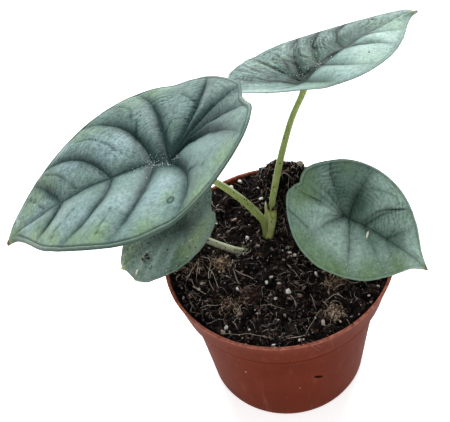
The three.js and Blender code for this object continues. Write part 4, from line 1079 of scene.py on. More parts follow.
# %% [markdown]
# ## Stalks and crown
#
# A stalk is a round section carried along a smooth path. It thickens towards its foot,
# carries faint lengthwise ribs and spreads a little where it joins the blade. At the foot
# the stalks sit in a sheathed neck on top of the corm. Neck and corm are one tube whose
# radius changes along its path.

# %% Tubes along paths
STALKS = {
    "left": ([(-4.7, 16.4, 89), (-4.6, 16.8, 94), (-5.4, 17, 100), (-7.6, 17, 105),
              (-12.2, 15.9, 115.4), (-18, 13.6, 127.2), (-26.9, 10.2, 142.6), (-36.5, 7.4, 155.8)],
             [1.7, 2.1, 1.9, 1.7, 1.5, 1.5]),
    "upper": ([(-0.7, 20.7, 99.5), (0.3, 22, 104.5), (1.9, 24, 112), (7.5, 31, 129.6),
               (15.3, 40, 147.4)], [1.5, 1.8, 1.75, 1.6, 1.45]),
    "right": ([(7.6, 15.2, 80.5), (13.2, 12.8, 88.5), (21.5, 7.6, 99), (29, 1.2, 109.5)],
              [1.6, 1.6, 1.5, 1.4]),
    "low": ([(-13.2, 12.3, 82), (-20.3, 9.2, 87.3), (-28.7, 10, 92.6), (-36.7, 11.4, 98.2)],
            [1.8, 1.9, 1.7, 1.4]),
}
STALK_BEND = 5
STALK_SIDES = 28
STALK_RINGS = 90
ACROSS = np.array([0.35, -0.93, 0.1])


def tube(path, radii, sides, rings, ribs=0.0, swell=0.0):
    """Points of a round section carried along a path, its centres, and each point's share of
    the way. The section's two directions are the tangent crossed with a fixed direction, and
    the tangent crossed with that. Ribs wave the radius round the section, and swell widens
    it towards the last ring."""
    centre = smooth_path(path, rings)
    tangent = np.gradient(centre, axis=0)
    tangent /= np.linalg.norm(tangent, axis=1)[:, None]
    over = np.cross(tangent, ACROSS)
    over /= np.linalg.norm(over, axis=1)[:, None]
    beside = np.cross(tangent, over)
    share = np.linspace(0, 1, rings)
    radius = np.interp(share, np.linspace(0, 1, len(radii)), radii)
    radius = radius * (1 + swell * np.exp(-((1 - share) * rings / 7) ** 2))
    turn = round_angles(sides)
    wave = 1 + ribs * (np.sin(7 * turn) + 0.6 * np.sin(11 * turn + 1))
    reach = radius[:, None] * wave
    ring = (centre[:, None] + (reach * np.cos(turn))[..., None] * over[:, None]
            + (reach * np.sin(turn))[..., None] * beside[:, None])
    return ring, centre, np.broadcast_to(share[:, None], reach.shape)


def closed_tube(name, ring, share):
    """A tube with a point in the middle of each end."""
    layer = np.concatenate([share.reshape(-1), [0.0, 1.0]])
    return piece_from(name, *capped(ring, ring[0].mean(axis=0), ring[-1].mean(axis=0)), {"along": layer})


def full_stalk(name):
    """The stalk's path with a last bend into the hub of its blade, and its radii."""
    leaf = LEAVES[name]
    path, radii = STALKS[name]
    end = bent(leaf, np.zeros(1), np.zeros(1), np.full(1, -leaf["dimple"] - 0.2))[0]
    come = end - np.array(path[-1])
    bend = come / np.linalg.norm(come) + pose_axes(leaf)[2]
    return path + [tuple(end - STALK_BEND * bend / np.linalg.norm(bend)), tuple(end)], radii


def stalk_piece(name):
    """A ribbed tube from the foot to the hub of the blade."""
    ring, _, share = tube(*full_stalk(name), STALK_SIDES, STALK_RINGS, ribs=0.012, swell=0.5)
    return closed_tube(f"petiole_{name}", ring, share)


stalks = {name: keep(stalk_piece(name), f"stalk_{name}", "stalk_pale" if name == "low" else "stalk_green")
          for name in STALKS}

# %% [markdown]
# The crown is the swollen corm, buried in the mix, and the neck of old sheaths above it.
# A sheath is the stalk's own wrapping, so it is thin, stands off a little and ends in a
# ragged brown edge. One wraps the foot of the upper leaf's stalk, a torn rag of an older
# one is left above it, and a small pale bud stands beside them.

# %% Crown, sheaths and bud
CROWN_PATH = [(-3.4, 16.8, 65.2), (-3.4, 16.8, 75.5), (-3.4, 16.9, 84), (-3.4, 17, 88),
              (-2.3, 18.4, 93), (-0.9, 20.3, 99), (0.1, 21.6, 103.3)]
CROWN_RADII = [0.8, 6.5, 8.4, 8.6, 7.4, 5.2, 3.8, 3.0, 2.8, 3.0, 3.1, 2.8, 2.2]
SHEATH_PATH = [(-2.9, 17.4, 88), (-1.5, 19, 94), (-0.5, 20.6, 99.5), (0.3, 22, 104.5)]
RAG_PATH = [(-0.3, 21.1, 101.3), (0.1, 21.7, 103.6), (0.5, 22.3, 105.8)]
BUD_PATH = [(-2.9, 20.2, 99), (-3.0, 21, 104), (-2.8, 21.8, 109)]
SHEATH_THICKNESS = 0.35
SHEATH_RINGS = 44
SHEATH_COLUMNS = 40


def crown_piece():
    """The corm and neck as one tube, with lumps of up to a twentieth of its radius."""
    ring, _, share = tube(CROWN_PATH, CROWN_RADII, 48, 90, ribs=0.02)
    lumps = 1 + 0.05 * noise(ring[..., 0] + ring[..., 1], ring[..., 2], 3.0, 21)
    middle = ring.mean(axis=1, keepdims=True)
    return closed_tube("crown_neck", middle + (ring - middle) * lumps[..., None], share)


def torn_edge(ragged, seed):
    """How much of its height each column of a sheath keeps, by noise round the section."""
    across = np.linspace(0, 1, SHEATH_COLUMNS)
    kept = 1 - ragged * (0.5 + 0.5 * noise(across * 9, np.zeros(SHEATH_COLUMNS), 1.0, seed))
    return kept * (0.72 + 0.28 * np.sin(np.pi * across) ** 0.5)


def sheath_piece(name, path, radii, start, sweep, ragged, seed):
    """A thin strip of a tube: sweep degrees of the section from a start angle, standing off a
    little more towards its torn upper edge."""
    ring, centre, share = tube(path, radii, 360, SHEATH_RINGS)
    turn = np.linspace(start, start + sweep, SHEATH_COLUMNS).astype(int) % 360
    base = ring[:, turn]
    away = base - centre[:, None]
    away /= np.linalg.norm(away, axis=2)[..., None]
    torn = torn_edge(ragged, seed)
    place = share[:, :1] * torn * (SHEATH_RINGS - 1)
    low = np.minimum(place.astype(int), SHEATH_RINGS - 2)
    part = (place - low)[..., None]
    k = np.arange(SHEATH_COLUMNS)
    height = place / (SHEATH_RINGS - 1)
    outer = base[low, k] * (1 - part) + base[low + 1, k] * part
    stand_off = 0.1 + 0.5 * height ** 3 + 0.12 * noise(outer[..., 2], place, 2.0, seed + 1)
    outer = outer + away[low, k] * stand_off[..., None]
    inner = outer - away[low, k] * SHEATH_THICKNESS
    shell = np.concatenate([outer, inner[:, ::-1]], axis=1)
    around, k = 2 * SHEATH_COLUMNS, k[:-1]
    top = (SHEATH_RINGS - 1) * around
    foot = np.stack([k + 1, k, around - 1 - k, around - 2 - k], axis=1)
    crest = top + np.stack([k, k + 1, around - 2 - k, around - 1 - k], axis=1)
    quads = np.vstack([grid_quads(SHEATH_RINGS, around, wrap=True), foot, crest])
    along = height / torn
    along = np.concatenate([along, along[:, ::-1]], axis=1)
    return piece_from(name, shell.reshape(-1, 3), quads, layers={"along": along.reshape(-1)})


def bud_piece():
    """A short closed tube that swells and then comes to a point."""
    ring, _, share = tube(BUD_PATH, [0.6, 0.75, 0.8, 0.7, 0.15], 20, 40, ribs=0.03)
    return closed_tube("crown_bud", ring, share)


crown = keep(crown_piece(), "crown", "crown_sheath")
sheath = keep(sheath_piece("sheath_upper", SHEATH_PATH, [2.7, 3.9, 3.5, 2.3], 10, 270, 0.25, 31), None,
              "crown_sheath")
rag = keep(sheath_piece("sheath_rag", RAG_PATH, [2.1, 2.2, 2.1], 0, 330, 0.9, 37), None, "crown_sheath")
bud = keep(bud_piece(), None, "crown_sheath")

# %% [markdown]
# Fresh stalks are yellow-green with pale ribs and a browner foot, and the lowest leaf's is
# pale and soiled. The sheaths are olive and dry to brown paper at their torn edge.

# %% Stalk and sheath finishes
def stalk_finish(name, body, pale, foot, dirt):
    """Pale ribs along the body colour, the foot's colour low down and in blotches of dirt."""
    finish = Finish(name)
    where = finish.place()
    ribs = finish.speckle(1.3, finish.place((1.0, 1.0, 0.12)), 3.0, 0.6)
    blotch = finish.speckle(5.0, where, 4.0, 0.6)
    colour = finish.coats(paint(body), (pale, (ribs * 1.8 - 0.6).clipped()),
                          (foot, (1.0 - finish.stored("along").between(0.04, 0.2)) * 0.5),
                          (foot, ((blotch - 0.5) * dirt).clipped()))
    tone = 0.85 + 0.3 * finish.speckle(0.9, where, 3.0, 0.6)
    colour = finish.toned(colour, tone)
    return finish.surface(Base_Color=colour, Roughness=0.42, Normal=finish.bump(ribs, 0.5, 0.25),
                          Specular_IOR_Level=0.4, Sheen_Weight=0.3, Sheen_Roughness=0.3,
                          Sheen_Tint=paint("f4f6d8"))


def sheath_finish(name, body, pale, brown, brown_from):
    """Olive with pale fibres, brown from a share of the height upwards, and dark blotches."""
    finish = Finish(name)
    where = finish.place()
    fibres = finish.speckle(0.8, finish.place((1.0, 1.0, 0.1)), 4.0, 0.65)
    edge = finish.stored("along") + 0.3 * (finish.speckle(2.0, where) - 0.5)
    blotch = finish.speckle(3.0, where, 3.0, 0.6)
    colour = finish.coats(paint(body), (pale, (fibres * 1.6 - 0.4).clipped()),
                          (brown, edge.between(brown_from, brown_from + 0.12) * 0.85),
                          ("33291a", blotch.between(0.62, 0.75) * 0.6))
    return finish.surface(Base_Color=colour, Roughness=0.6, Normal=finish.bump(fibres, 0.6, 0.3),
                          Specular_IOR_Level=0.3)


stalk_green = stalk_finish("stalk_green_skin", "92a454", "bcca86", "84874f", 0.8)
stalk_pale = stalk_finish("stalk_pale_skin", "b0b594", "d2d6bd", "665e48", 3.9)
for name, stalk in stalks.items():
    dress(stalk, stalk_pale if name == "low" else stalk_green)
dress(crown, sheath_finish("sheath_neck", "a2ae5a", "c4cc86", "857f4a", 0.9))
dress(sheath, sheath_finish("sheath_olive", "a0aa62", "c4ca90", "8a7448", 0.93))
dress(rag, sheath_finish("sheath_brown", "3c2c1c", "5a4530", "2a1d14", 0.5))
dress(bud, sheath_finish("bud_pale", "b0b080", "d4d0ac", "fffdf0", 0.8))
print("crown pieces:", len([crown, sheath, rag, bud]))

# %% [markdown]
# Small dark specks of mix cling to the stalks on the side that faces the viewer. Each one
# is set on the skin of its stalk, at a share of the stalk's length and leaning to the left
# or right. Two more lie on the sheath.

# %% Places on the stalks
TOWARDS_VIEWER = np.array([0.0, -0.65, 0.76])
STALK_SPECKS = {
    "left": [(0.2, -1), (0.25, 0.3), (0.3, 1), (0.34, 0), (0.39, 0.8), (0.43, -0.5), (0.5, 0.4), (0.28, -1),
             (0.36, 1.2)],
    "upper": [(0.08, 0.6), (0.2, 0.4), (0.24, -0.3), (0.42, 0.2), (0.6, -0.6)],
    "low": [(0.3, 0.2), (0.42, -0.4), (0.55, 0.5), (0.66, 0)]}
SHEATH_SPECKS = [(-1.1, 15.9, 99), (0.2, 14.8, 94.6)]


def stalk_skin(name, specks):
    """Points of a stalk's skin: of the ring at a share of the length, the point that lies
    farthest towards the viewer, or towards a direction that leans by the given amount."""
    ring, centre, _ = tube(*full_stalk(name), STALK_SIDES, STALK_RINGS)
    places = []
    for share, lean in specks:
        k = int(share * (STALK_RINGS - 1))
        towards = TOWARDS_VIEWER + np.array([lean, 0, 0])
        places.append(ring[k, np.argmax((ring[k] - centre[k]) @ towards)])
    return np.array(places)


on_stalks = [stalk_skin(name, specks) for name, specks in STALK_SPECKS.items()]
stalk_specks = np.vstack(on_stalks + [SHEATH_SPECKS])
print("specks on the stalks:", len(stalk_specks))

# %% [markdown]
# ## The pot
#
# A nursery pot is blown or moulded thin: a rounded lip, a flared collar that lets pots
# stack, a step under it, a tapered wall and a floor with a raised ring of drain holes. It
# is a profile turned round the Z axis, from the middle of the base up the outside, over the
# lip and down the inside. The holes are cut by a Boolean modifier, because a hole across
# the rings of a turned grid would need its own mesh.

# %% Pot
POT_BASE = [
    (0.0, 0.0), (21.6, 0.0), (22.4, 0.3), (23.2, 1.4), (24.2, 1.6), (33.8, 1.6), (34.8, 1.4), (35.6, 0.3),
    (36.4, 0.0), (40.4, 0.0), (42.1, 0.3), (42.8, 1.2), (43.3, 2.5)]
POT_OUTSIDE = [
    (46.8, 32.0), (50.7, 62.5), (51.2, 65.6), (51.8, 67.8), (53.0, 69.2), (54.3, 70.5), (55.2, 72.2),
    (55.8, 74.6), (57.6, 83.0), (59.8, 91.2), (60.1, 92.3), (60.0, 92.8), (59.5, 93.0), (58.9, 93.0)]
POT_INSIDE = [
    (58.5, 92.7), (58.3, 92.0), (55.9, 82.0), (53.5, 72.3), (52.6, 71.3), (50.6, 70.3), (49.7, 69.2),
    (49.35, 67.4), (45.0, 33.0), (41.1, 4.2), (40.4, 2.6), (39.2, 2.0), (36.6, 2.0), (35.4, 2.3),
    (34.6, 3.4), (33.6, 3.6), (24.4, 3.6), (23.4, 3.4), (22.6, 2.3), (21.4, 2.0), (0.0, 2.0)]
RIM_HEIGHT = 93
POT_SIDES = 224
DRAIN_RING = 29
DRAIN_RADIUS = 3
DRAIN_HOLES = 8
PIN_FOOT = -3.0
PIN_HEIGHT = 10
PIN_SIDES = 28


def resampled(profile, spacing):
    """The profile with extra points on its long straight pieces."""
    rows = [profile[0]]
    for a, b in zip(profile[:-1], profile[1:]):
        count = max(1, int(math.dist(a, b) / spacing))
        rows += [tuple(np.array(a) + (np.array(b) - a) * (k + 1) / count) for k in range(count)]
    return np.array(rows)


def turned(profile, sides):
    """A profile (radius, height) turned round Z, with one point at each end on the axis. The
    rim is oval by a tenth of a millimetre, and the wall waves by half that, as thin plastic
    does."""
    turn = round_angles(sides)
    radius, height = profile[1:-1, 0][:, None], profile[1:-1, 1][:, None]
    oval = 0.12 * np.sin(2 * turn + 0.6) * height / RIM_HEIGHT
    reach = radius + (oval + 0.05 * noise(turn * 12, 0 * turn, 1.0, 4) * (height > 5))
    return capped(circled(reach, turn, height), [0, 0, profile[0, 1]], [0, 0, profile[-1, 1]])


def applied(piece):
    """The piece with its modifiers worked into its mesh."""
    settled = bpy.data.meshes.new_from_object(piece.evaluated_get(bpy.context.evaluated_depsgraph_get()))
    piece.modifiers.clear()
    piece.data = settled
    return piece


def drain_cutter():
    """Upright pins, one for each drain hole, as one mesh."""
    circle = circled(DRAIN_RADIUS, round_angles(PIN_SIDES), 0)
    pins = []
    for foot in circled(DRAIN_RING, round_angles(DRAIN_HOLES), PIN_FOOT):
        head = foot + [0, 0, PIN_HEIGHT]
        points, quads, triangles = capped(np.stack([circle + foot, circle + head]), foot, head)
        start = len(pins) * len(points)
        pins.append((points, quads + start, triangles + start))
    return piece_from("drain_cutter", *(np.vstack(parts) for parts in zip(*pins)))


def pot_piece():
    """The turned wall with its holes cut, and its creases kept sharp by splitting their edges."""
    profile = resampled(POT_BASE + POT_OUTSIDE + POT_INSIDE, 4.0)
    pot = piece_from("nursery_pot", *turned(profile, POT_SIDES))
    cutter = drain_cutter()
    cut = pot.modifiers.new("drain", "BOOLEAN")
    cut.operation = "DIFFERENCE"
    cut.solver = "EXACT"
    cut.object = cutter
    pot = applied(pot)
    bpy.data.objects.remove(cutter)
    pot.data.shade_smooth()
    edges = pot.modifiers.new("edges", "EDGE_SPLIT")
    edges.split_angle = math.radians(50)
    return applied(pot)


pot = keep(pot_piece(), "pot", "pot_plastic")

# %% Pot finish
def pot_finish():
    """Red brown plastic with cloudy patches, painted highlight streaks, a paler band at the top
    and a paler lip, specks and soil, and painted shade under the step.
    """
    finish = Finish("pot_red_plastic")
    where = finish.place()
    cloud = finish.speckle(26.0, where, 4.0, 0.6)
    dust = finish.speckle(1.8, where, 4.0, 0.65)
    highlight_streak = finish.speckle(5.0, finish.place((1.0, 1.0, 0.12)), 4.0, 0.6)
    height = finish.add("ShaderNodeSeparateXYZ", {}, {0: where}, output=2) * (1 / MM)
    lip = height.between(91.5, 92.4) * (0.3 + 1.8 * (dust - 0.35)).clipped()
    specks = finish.speckle(1.5, where, 0.0, 0.3).between(0.79, 0.82)
    soiled = finish.speckle(9.0, where, 4.0, 0.7).between(0.55, 0.75)
    colour = finish.coats(
        paint("5d1e0a"),
        ("6b2811", (cloud * 1.6 - 0.3).clipped()),
        # Painted highlight: pale upright streaks for the satin sheen of the plastic.
        ("9a6250", (1.2 * (highlight_streak - 0.56)).clipped()),
        ("8a4a38", (height.between(84.0, 93.0) * (0.6 * dust - 0.12)).clipped()),
        ("b2705f", lip), ("2b1711", specks * 0.6), ("521f12", soiled * 0.4))
    tone = 1.0 + 0.5 * (dust - 0.5) + 0.35 * (finish.speckle(5.0, where, 4.0, 0.65) - 0.5)
    colour = finish.toned(colour, tone)
    step_shade = height.between(67.0, 70.0) * (1.0 - height.between(72.0, 75.0))
    colour = finish.coats(colour, ("3a1207", step_shade * 0.25))
    roughness = (0.45 + 0.25 * dust + 0.5 * step_shade).clipped()
    return finish.surface(Base_Color=colour, Roughness=roughness, Normal=finish.bump(dust, 0.2, 0.1),
                          Specular_IOR_Level=0.03)


dress(pot, pot_finish())

# %% [markdown]
# ## The potting mix
#
# Potting mix is peat, coir fibre, bark crumbs and white perlite. From a step away it reads
# as a dark, rough, fibrous surface with pale grains. The body is one closed turned grid
# whose top is lifted by noise of several sizes. Crumbs, grains and fibres are real small
# shapes that lie on it, each kind in one mesh, because one surface can't show their gaps.

# %% Soil surface
SOIL_LEVEL = 88.3
SOIL_EDGE = 57.8
WAVES = [(0.5, 0.31, 0.27, 1.5), (0.5, 0.31, -0.27, 0.7), (0.6, 0.55, -0.43, 0), (0.5, 0.23, 0.71, 1.57)]
HEAP = dict(x=11, y=49, half_x=16, half_y=15, height=19, share_at_wall=0.28)
BANK = dict(x=-26, y=48, reach=19, height=2.0)
MIX_SIDES = 400
MIX_RINGS = 120
INSIDE_POT = np.array([(52.3, 71.8), (49.9, 70.4), (49.0, 67.5), (41.0, 4.6), (38.0, 3.9)])
UNDER_LOW_STALK = [(-24.5, 9.5), (-32, 10.2)]


def soil_height(x, y):
    """Height of the mix: a level, a rise at the wall, long waves, the heap at the back and a
    low bank against the wall beside it."""
    radius = np.hypot(x, y)
    inward = np.clip((SOIL_EDGE - radius) / 9, 0, 1)
    ripple = sum(h * np.sin(a * x + b * y + c) for h, a, b, c in WAVES)
    spread = (np.abs(x - HEAP["x"]) / HEAP["half_x"]) ** 4 + (np.abs(y - HEAP["y"]) / HEAP["half_y"]) ** 2.4
    wall = HEAP["share_at_wall"]
    heaped = HEAP["height"] * np.exp(-spread) * (wall + (1 - wall) * np.sqrt(inward))
    bank = BANK["height"] * np.exp(-((x - BANK["x"]) ** 2 + (y - BANK["y"]) ** 2) / BANK["reach"] ** 2)
    return SOIL_LEVEL + 1.6 * (radius / SOIL_EDGE) ** 4 + 0.8 * ripple * (0.4 + 0.6 * inward) + heaped + bank


def soil_rough(x, y):
    """The finer roughness: noise of 6, 3, 1.4 and 0.8 mm, and pits where noise crosses zero."""
    fine = 1.0 * noise(x, y, 6.0, 41) + 0.85 * noise(x, y, 3.0, 42)
    pits = 0.9 - 2.0 * (1 - np.abs(noise(x, y, 2.6, 43))) ** 3
    return fine + pits + 0.6 * noise(x, y, 1.4, 44) + 0.35 * noise(x, y, 0.8, 45)


def soil_piece():
    """The body as rings from the middle to the wall and down its inside. Under the lowest
    stalk it is smoother and 1.6 mm lower, so that the stalk lies clear."""
    turn = round_angles(MIX_SIDES)
    reach = SOIL_EDGE * np.linspace(0, 1, MIX_RINGS + 1)[1:] ** 0.85
    x, y = reach[:, None] * np.cos(turn), reach[:, None] * np.sin(turn)
    rough = soil_rough(x, y)
    under_stalk = np.exp(-(nearest_on_path(x, y, UNDER_LOW_STALK)[0] / 4) ** 2)
    z = soil_height(x, y) + rough * (1 - 0.9 * under_stalk) - 0.4 - 1.6 * under_stalk
    low = circled(INSIDE_POT[:, :1], turn, INSIDE_POT[:, 1:])
    points, quads, triangles = capped(np.concatenate([np.stack([x, y, z], axis=-1), low]),
                                      [0, 0, float(soil_height(0.0, 0.0))], [0, 0, INSIDE_POT[-1, 1]])
    rise = np.concatenate([rough.reshape(-1), np.zeros(len(points) - rough.size)])
    return piece_from("mix_body", points, quads, triangles, {"rise": rise})


soil = keep(soil_piece(), "soil", "potting_mix")

# %% [markdown]
# A crumb is an icosahedron pushed out of shape. Thousands of them are one array, and each
# has its own shape, stretch, turn and place by seeded random numbers.

# %% Crumbs, grains and clods
draw = np.random.default_rng(7)
GOLDEN = (1 + 5 ** 0.5) / 2
ICO_POINTS = np.array([
    (-1, GOLDEN, 0), (1, GOLDEN, 0), (-1, -GOLDEN, 0), (1, -GOLDEN, 0), (0, -1, GOLDEN), (0, 1, GOLDEN),
    (0, -1, -GOLDEN), (0, 1, -GOLDEN), (GOLDEN, 0, -1), (GOLDEN, 0, 1), (-GOLDEN, 0, -1),
    (-GOLDEN, 0, 1)]) / np.hypot(1, GOLDEN)
ICO_FACES = np.array([
    (0, 11, 5), (0, 5, 1), (0, 1, 7), (0, 7, 10), (0, 10, 11), (1, 5, 9), (5, 11, 4), (11, 10, 2),
    (10, 7, 6), (7, 1, 8), (3, 9, 4), (3, 4, 2), (3, 2, 6), (3, 6, 8), (3, 8, 9), (4, 9, 5), (2, 4, 11),
    (6, 2, 10), (8, 6, 7), (9, 8, 1)])


def turns(count):
    """Random rotation matrices from random unit quaternions."""
    q = draw.normal(size=(count, 4))
    w, x, y, z = (q / np.linalg.norm(q, axis=1)[:, None]).T
    rows = [[1 - 2 * (y * y + z * z), 2 * (x * y - z * w), 2 * (x * z + y * w)],
            [2 * (x * y + z * w), 1 - 2 * (x * x + z * z), 2 * (y * z - x * w)],
            [2 * (x * z - y * w), 2 * (y * z + x * w), 1 - 2 * (x * x + y * y)]]
    return np.moveaxis(np.array(rows), -1, 0).copy()


def crumbs_at(name, places, sizes, stretch, tone):
    """Crumbs at these places: each is an icosahedron with its points pushed in and out by up
    to a third, stretched along two of its axes and turned."""
    count = len(places)
    shape = ICO_POINTS * (1 + 0.33 * draw.uniform(-1, 1, size=(count, 12, 1)))
    shape = shape * np.stack([np.ones(count), *stretch], axis=1)[:, None]
    points = np.einsum("nij,nkj->nki", turns(count), shape * sizes[:, None, None]) + places[:, None]
    faces = ICO_FACES + 12 * np.arange(count)[:, None, None]
    piece = piece_from(name, points.reshape(-1, 3), (), faces.reshape(-1, 3), {"tone": np.repeat(tone, 12)})
    piece.data.shade_flat()
    return piece


def strewn(name, places, sizes, widths, heights, tones=(0, 1), power=1, slot_name="potting_mix"):
    """Crumbs whose widths, heights and tones are drawn between the two limits of each."""
    count = len(places)
    stretch = (draw.uniform(*widths, count), draw.uniform(*heights, count))
    tone = draw.uniform(*tones, count) ** power
    return keep(crumbs_at(name, places, sizes, stretch, tone), None, slot_name)


def scattered(count, reach, sink, sizes):
    """Random places on the mix, evenly by area, lifted to its surface."""
    turn, out = draw.uniform(0, 2 * np.pi, count), reach * np.sqrt(draw.uniform(0, 1, count))
    x, y = out * np.cos(turn), out * np.sin(turn)
    return np.stack([x, y, soil_height(x, y) + 0.4 * soil_rough(x, y) - sink * sizes], axis=1)


CRUMBS = 4200
crumb_sizes = np.minimum(0.3 + 0.6 * draw.gamma(1.5, 0.5, CRUMBS), 1.9)
bark = strewn("mix_crumbs", scattered(CRUMBS, 55.8, -0.35, crumb_sizes), crumb_sizes,
              (0.3, 0.9), (0.2, 0.5), power=1.5)

# %% [markdown]
# Two balls of coir and four reddish clods stand out of the mix. Their crumbs crowd round a
# place in a low dome, given by place x, place y, reach and height.

# %% Clods
COIR_BALLS = [(-30, 1.5, 5.2, 2.8), (22.5, -40, 5.6, 3.2)]
RED_CLODS = [(-18.3, -22.5, 6.5, 2.4), (27, -21, 4.5, 1.6), (8, 47, 8, 1.5), (-29, -24, 4.5, 1.4)]


def domed(balls, amount):
    """Places in low domes: normal spread in the plan, and a height that falls off with it."""
    places = []
    for x, y, reach, height in balls:
        spread = draw.normal(size=(amount, 2)) * reach * 0.45
        out = np.hypot(spread[:, 0], spread[:, 1]) / reach
        px, py = x + spread[:, 0], y + spread[:, 1]
        z = soil_height(px, py) + height * np.exp(-out ** 2 * 2) * draw.uniform(0.3, 1, amount)
        places.append(np.stack([px, py, z], axis=1))
    places = np.vstack(places)
    inwards = np.minimum(1, 56 / np.hypot(places[:, 0], places[:, 1]))
    return places * inwards[:, None] ** [1, 1, 0]


def clod_piece(name, balls, amount, size):
    """Crumbs of about one size, so many to each low dome."""
    places = domed(balls, amount)
    return strewn(name, places, draw.uniform(0.6, 1.3, len(places)) * size, (0.5, 1), (0.4, 0.9))


coir = clod_piece("mix_coir", COIR_BALLS, 150, 0.6)
clods = clod_piece("mix_clods", RED_CLODS, 90, 0.9)

# %% [markdown]
# The larger perlite grains lie where the photograph shows them, and small ones are
# sprinkled between. Each one sits on the mix, whatever side it is seen from.

# %% Perlite
GRAINS = [(1.8, -23.2, 1.5), (-5.8, -26.2, 1.1), (-6, -12.7, 1.0), (-8.6, -16.1, 1.0), (-2.5, -17.2, 0.9),
          (17.2, -14.3, 1.0), (-32, -40.6, 1.5), (-34, -42.6, 1.0), (2.5, -54.2, 1.0), (-10.5, -54.5, 0.8),
          (-43.7, -14.2, 1.1), (-31.3, 4, 1.1), (15.6, -45, 1.0), (46.4, -29, 1.2), (41, -33, 0.6),
          (-19.5, 50.9, 1.5), (-4.8, 43.5, 1.0), (-4.1, 36.7, 1.1), (-13.9, 54.5, 1.1), (-24.2, -17.1, 0.8),
          (6.1, 1.7, 1.3), (15.1, 8.2, 1.5), (-42.2, -9.9, 0.8), (1, 35, 1.1), (-16, -33, 0.7),
          (5.5, -1.5, 1.0), (8, 0.5, 1.2), (4.6, -54.2, 0.8),
          (-10, 9, 0.9), (-15, 16, 1.0), (20, 24, 0.8), (-6, -40, 0.6), (-21, -44, 0.8)]
SPRINKLED = 180
x, y, grain_sizes = (np.array(GRAINS, float) * [1, 1, 1.3]).T
on_mix = np.stack([x, y, soil_height(x, y) + 0.6], axis=1)
small_sizes = 0.25 + 0.35 * draw.uniform(0, 1, SPRINKLED) ** 2
perlite = strewn("mix_perlite", np.vstack([on_mix, scattered(SPRINKLED, 55.5, -0.5, small_sizes)]),
                 np.concatenate([grain_sizes, small_sizes]), (0.5, 1), (0.4, 0.9))

# %% [markdown]
# Coir and fine roots are threads a few tenths of a millimetre thick. Each is a
# three-sided tube. Most wander over the surface, some crowd round the coir balls and a few
# other places, and the longest pale ones lie where the photograph shows them. All threads
# of a kind are worked out at once as an array of threads by rings by sides.

# %% Fibres
LONG_FIBRES = [
    [(-39, 1.4), (-35.5, -5.9), (-33.4, -15.4)], [(-23.8, -4.7), (-19.1, -8.9), (-14.4, -13.1)],
    [(-35, -43.9), (-23.7, -46.5), (-15.6, -49.1), (-9.5, -51)],
    [(16.5, -36.5), (10.7, -44.1), (5.5, -51.6)], [(5.5, -51.6), (2, -52.6), (-3, -52.5)],
    [(-43, 4.2), (-47.4, -3.7), (-50, -8.3)], [(-41.7, 6.6), (-43, -1.2), (-44.6, -7.5)],
    [(-44.3, -25.5), (-37.1, -26.2), (-32.9, -25.1)], [(-24.7, -3.3), (-23.6, -11.4), (-21.8, -13.7)],
    [(23.8, -27.2), (27.8, -24.7), (31.1, -23.4)], [(1.8, -26.3), (3.8, -30.5), (3.9, -33)],
    [(12.2, -25.7), (12.7, -32.1), (13.5, -36.6)], [(4, -8.6), (7.4, -13.8), (8.5, -16)],
    [(-15.1, -45.6), (-10.9, -44.5)], [(-29.2, -37), (-26.7, -42.3)],
    [(-40, 8), (-36, 3), (-38, -8), (-36, -16)], [(-47, -12), (-41, -17), (-38, -14)],
    [(-14, -29), (-8, -31), (-2, -34)], [(30, -34), (25, -30), (18, -33)],
    [(-28, -22), (-24, -30), (-27, -35)]]


def thread_piece(name, centre, radii, tones):
    """Three-sided tubes along many centre lines, given as threads by rings by three. One
    direction of the section is level and the other one upright."""
    count, rings, sides = len(centre), centre.shape[1], 3
    share = np.linspace(0, 1, rings)
    tangent = np.gradient(centre, axis=1)
    beside = np.stack([-tangent[..., 1], tangent[..., 0], 0 * tangent[..., 0]], axis=-1)
    beside /= np.linalg.norm(beside, axis=-1)[..., None] + 1e-9
    angle = round_angles(sides)
    radius = radii[:, None] * (0.45 + 0.55 * np.sin(np.pi * (0.08 + 0.84 * share)))
    ring = (centre[:, :, None] + (radius[..., None] * np.cos(angle))[..., None] * beside[:, :, None]
            + (radius[..., None] * np.sin(angle))[..., None] * [0, 0, 1])
    each = rings * sides
    first = each * np.arange(count)[:, None, None]
    quads = grid_quads(rings, sides, wrap=True) + first
    caps = np.array([(0, 2, 1), (each - 3, each - 2, each - 1)]) + first
    return keep(piece_from(name, ring.reshape(-1, 3), quads.reshape(-1, 4), caps.reshape(-1, 3),
                           {"tone": np.repeat(tones, each)}), None, "potting_mix")


def wandering(starts, lengths, curls, lift):
    """Centre lines on the mix: the heading turns steadily by the curl and wavers a little, and
    the height follows the surface with an arch."""
    count, rings = len(starts), 8
    share = np.linspace(0, 1, rings)
    first = draw.uniform(0, 2 * np.pi, count)[:, None]
    turn = first + curls[:, None] * share + 0.35 * np.sin(5 * share + 7 * first)
    stride = lengths[:, None] / (rings - 1)
    x = starts[:, :1] + np.cumsum(np.cos(turn) * stride, axis=1)
    y = starts[:, 1:2] + np.cumsum(np.sin(turn) * stride, axis=1)
    inside = np.minimum(1, 56.5 / np.maximum(np.hypot(x, y), 1e-6))
    x, y = x * inside, y * inside
    z = soil_height(x, y) + 0.3 * soil_rough(x, y) + 0.5 + lift[:, None] * np.sin(np.pi * share)
    return np.stack([x, y, z], axis=-1)


def laid(path, rings):
    """A listed centre line, laid on the mix with a small arch."""
    line = smooth_path(path, rings)
    lift = 0.9 + 0.8 * np.sin(np.pi * np.linspace(0, 1, rings))
    return np.column_stack([line, soil_height(line[:, 0], line[:, 1]) + lift])


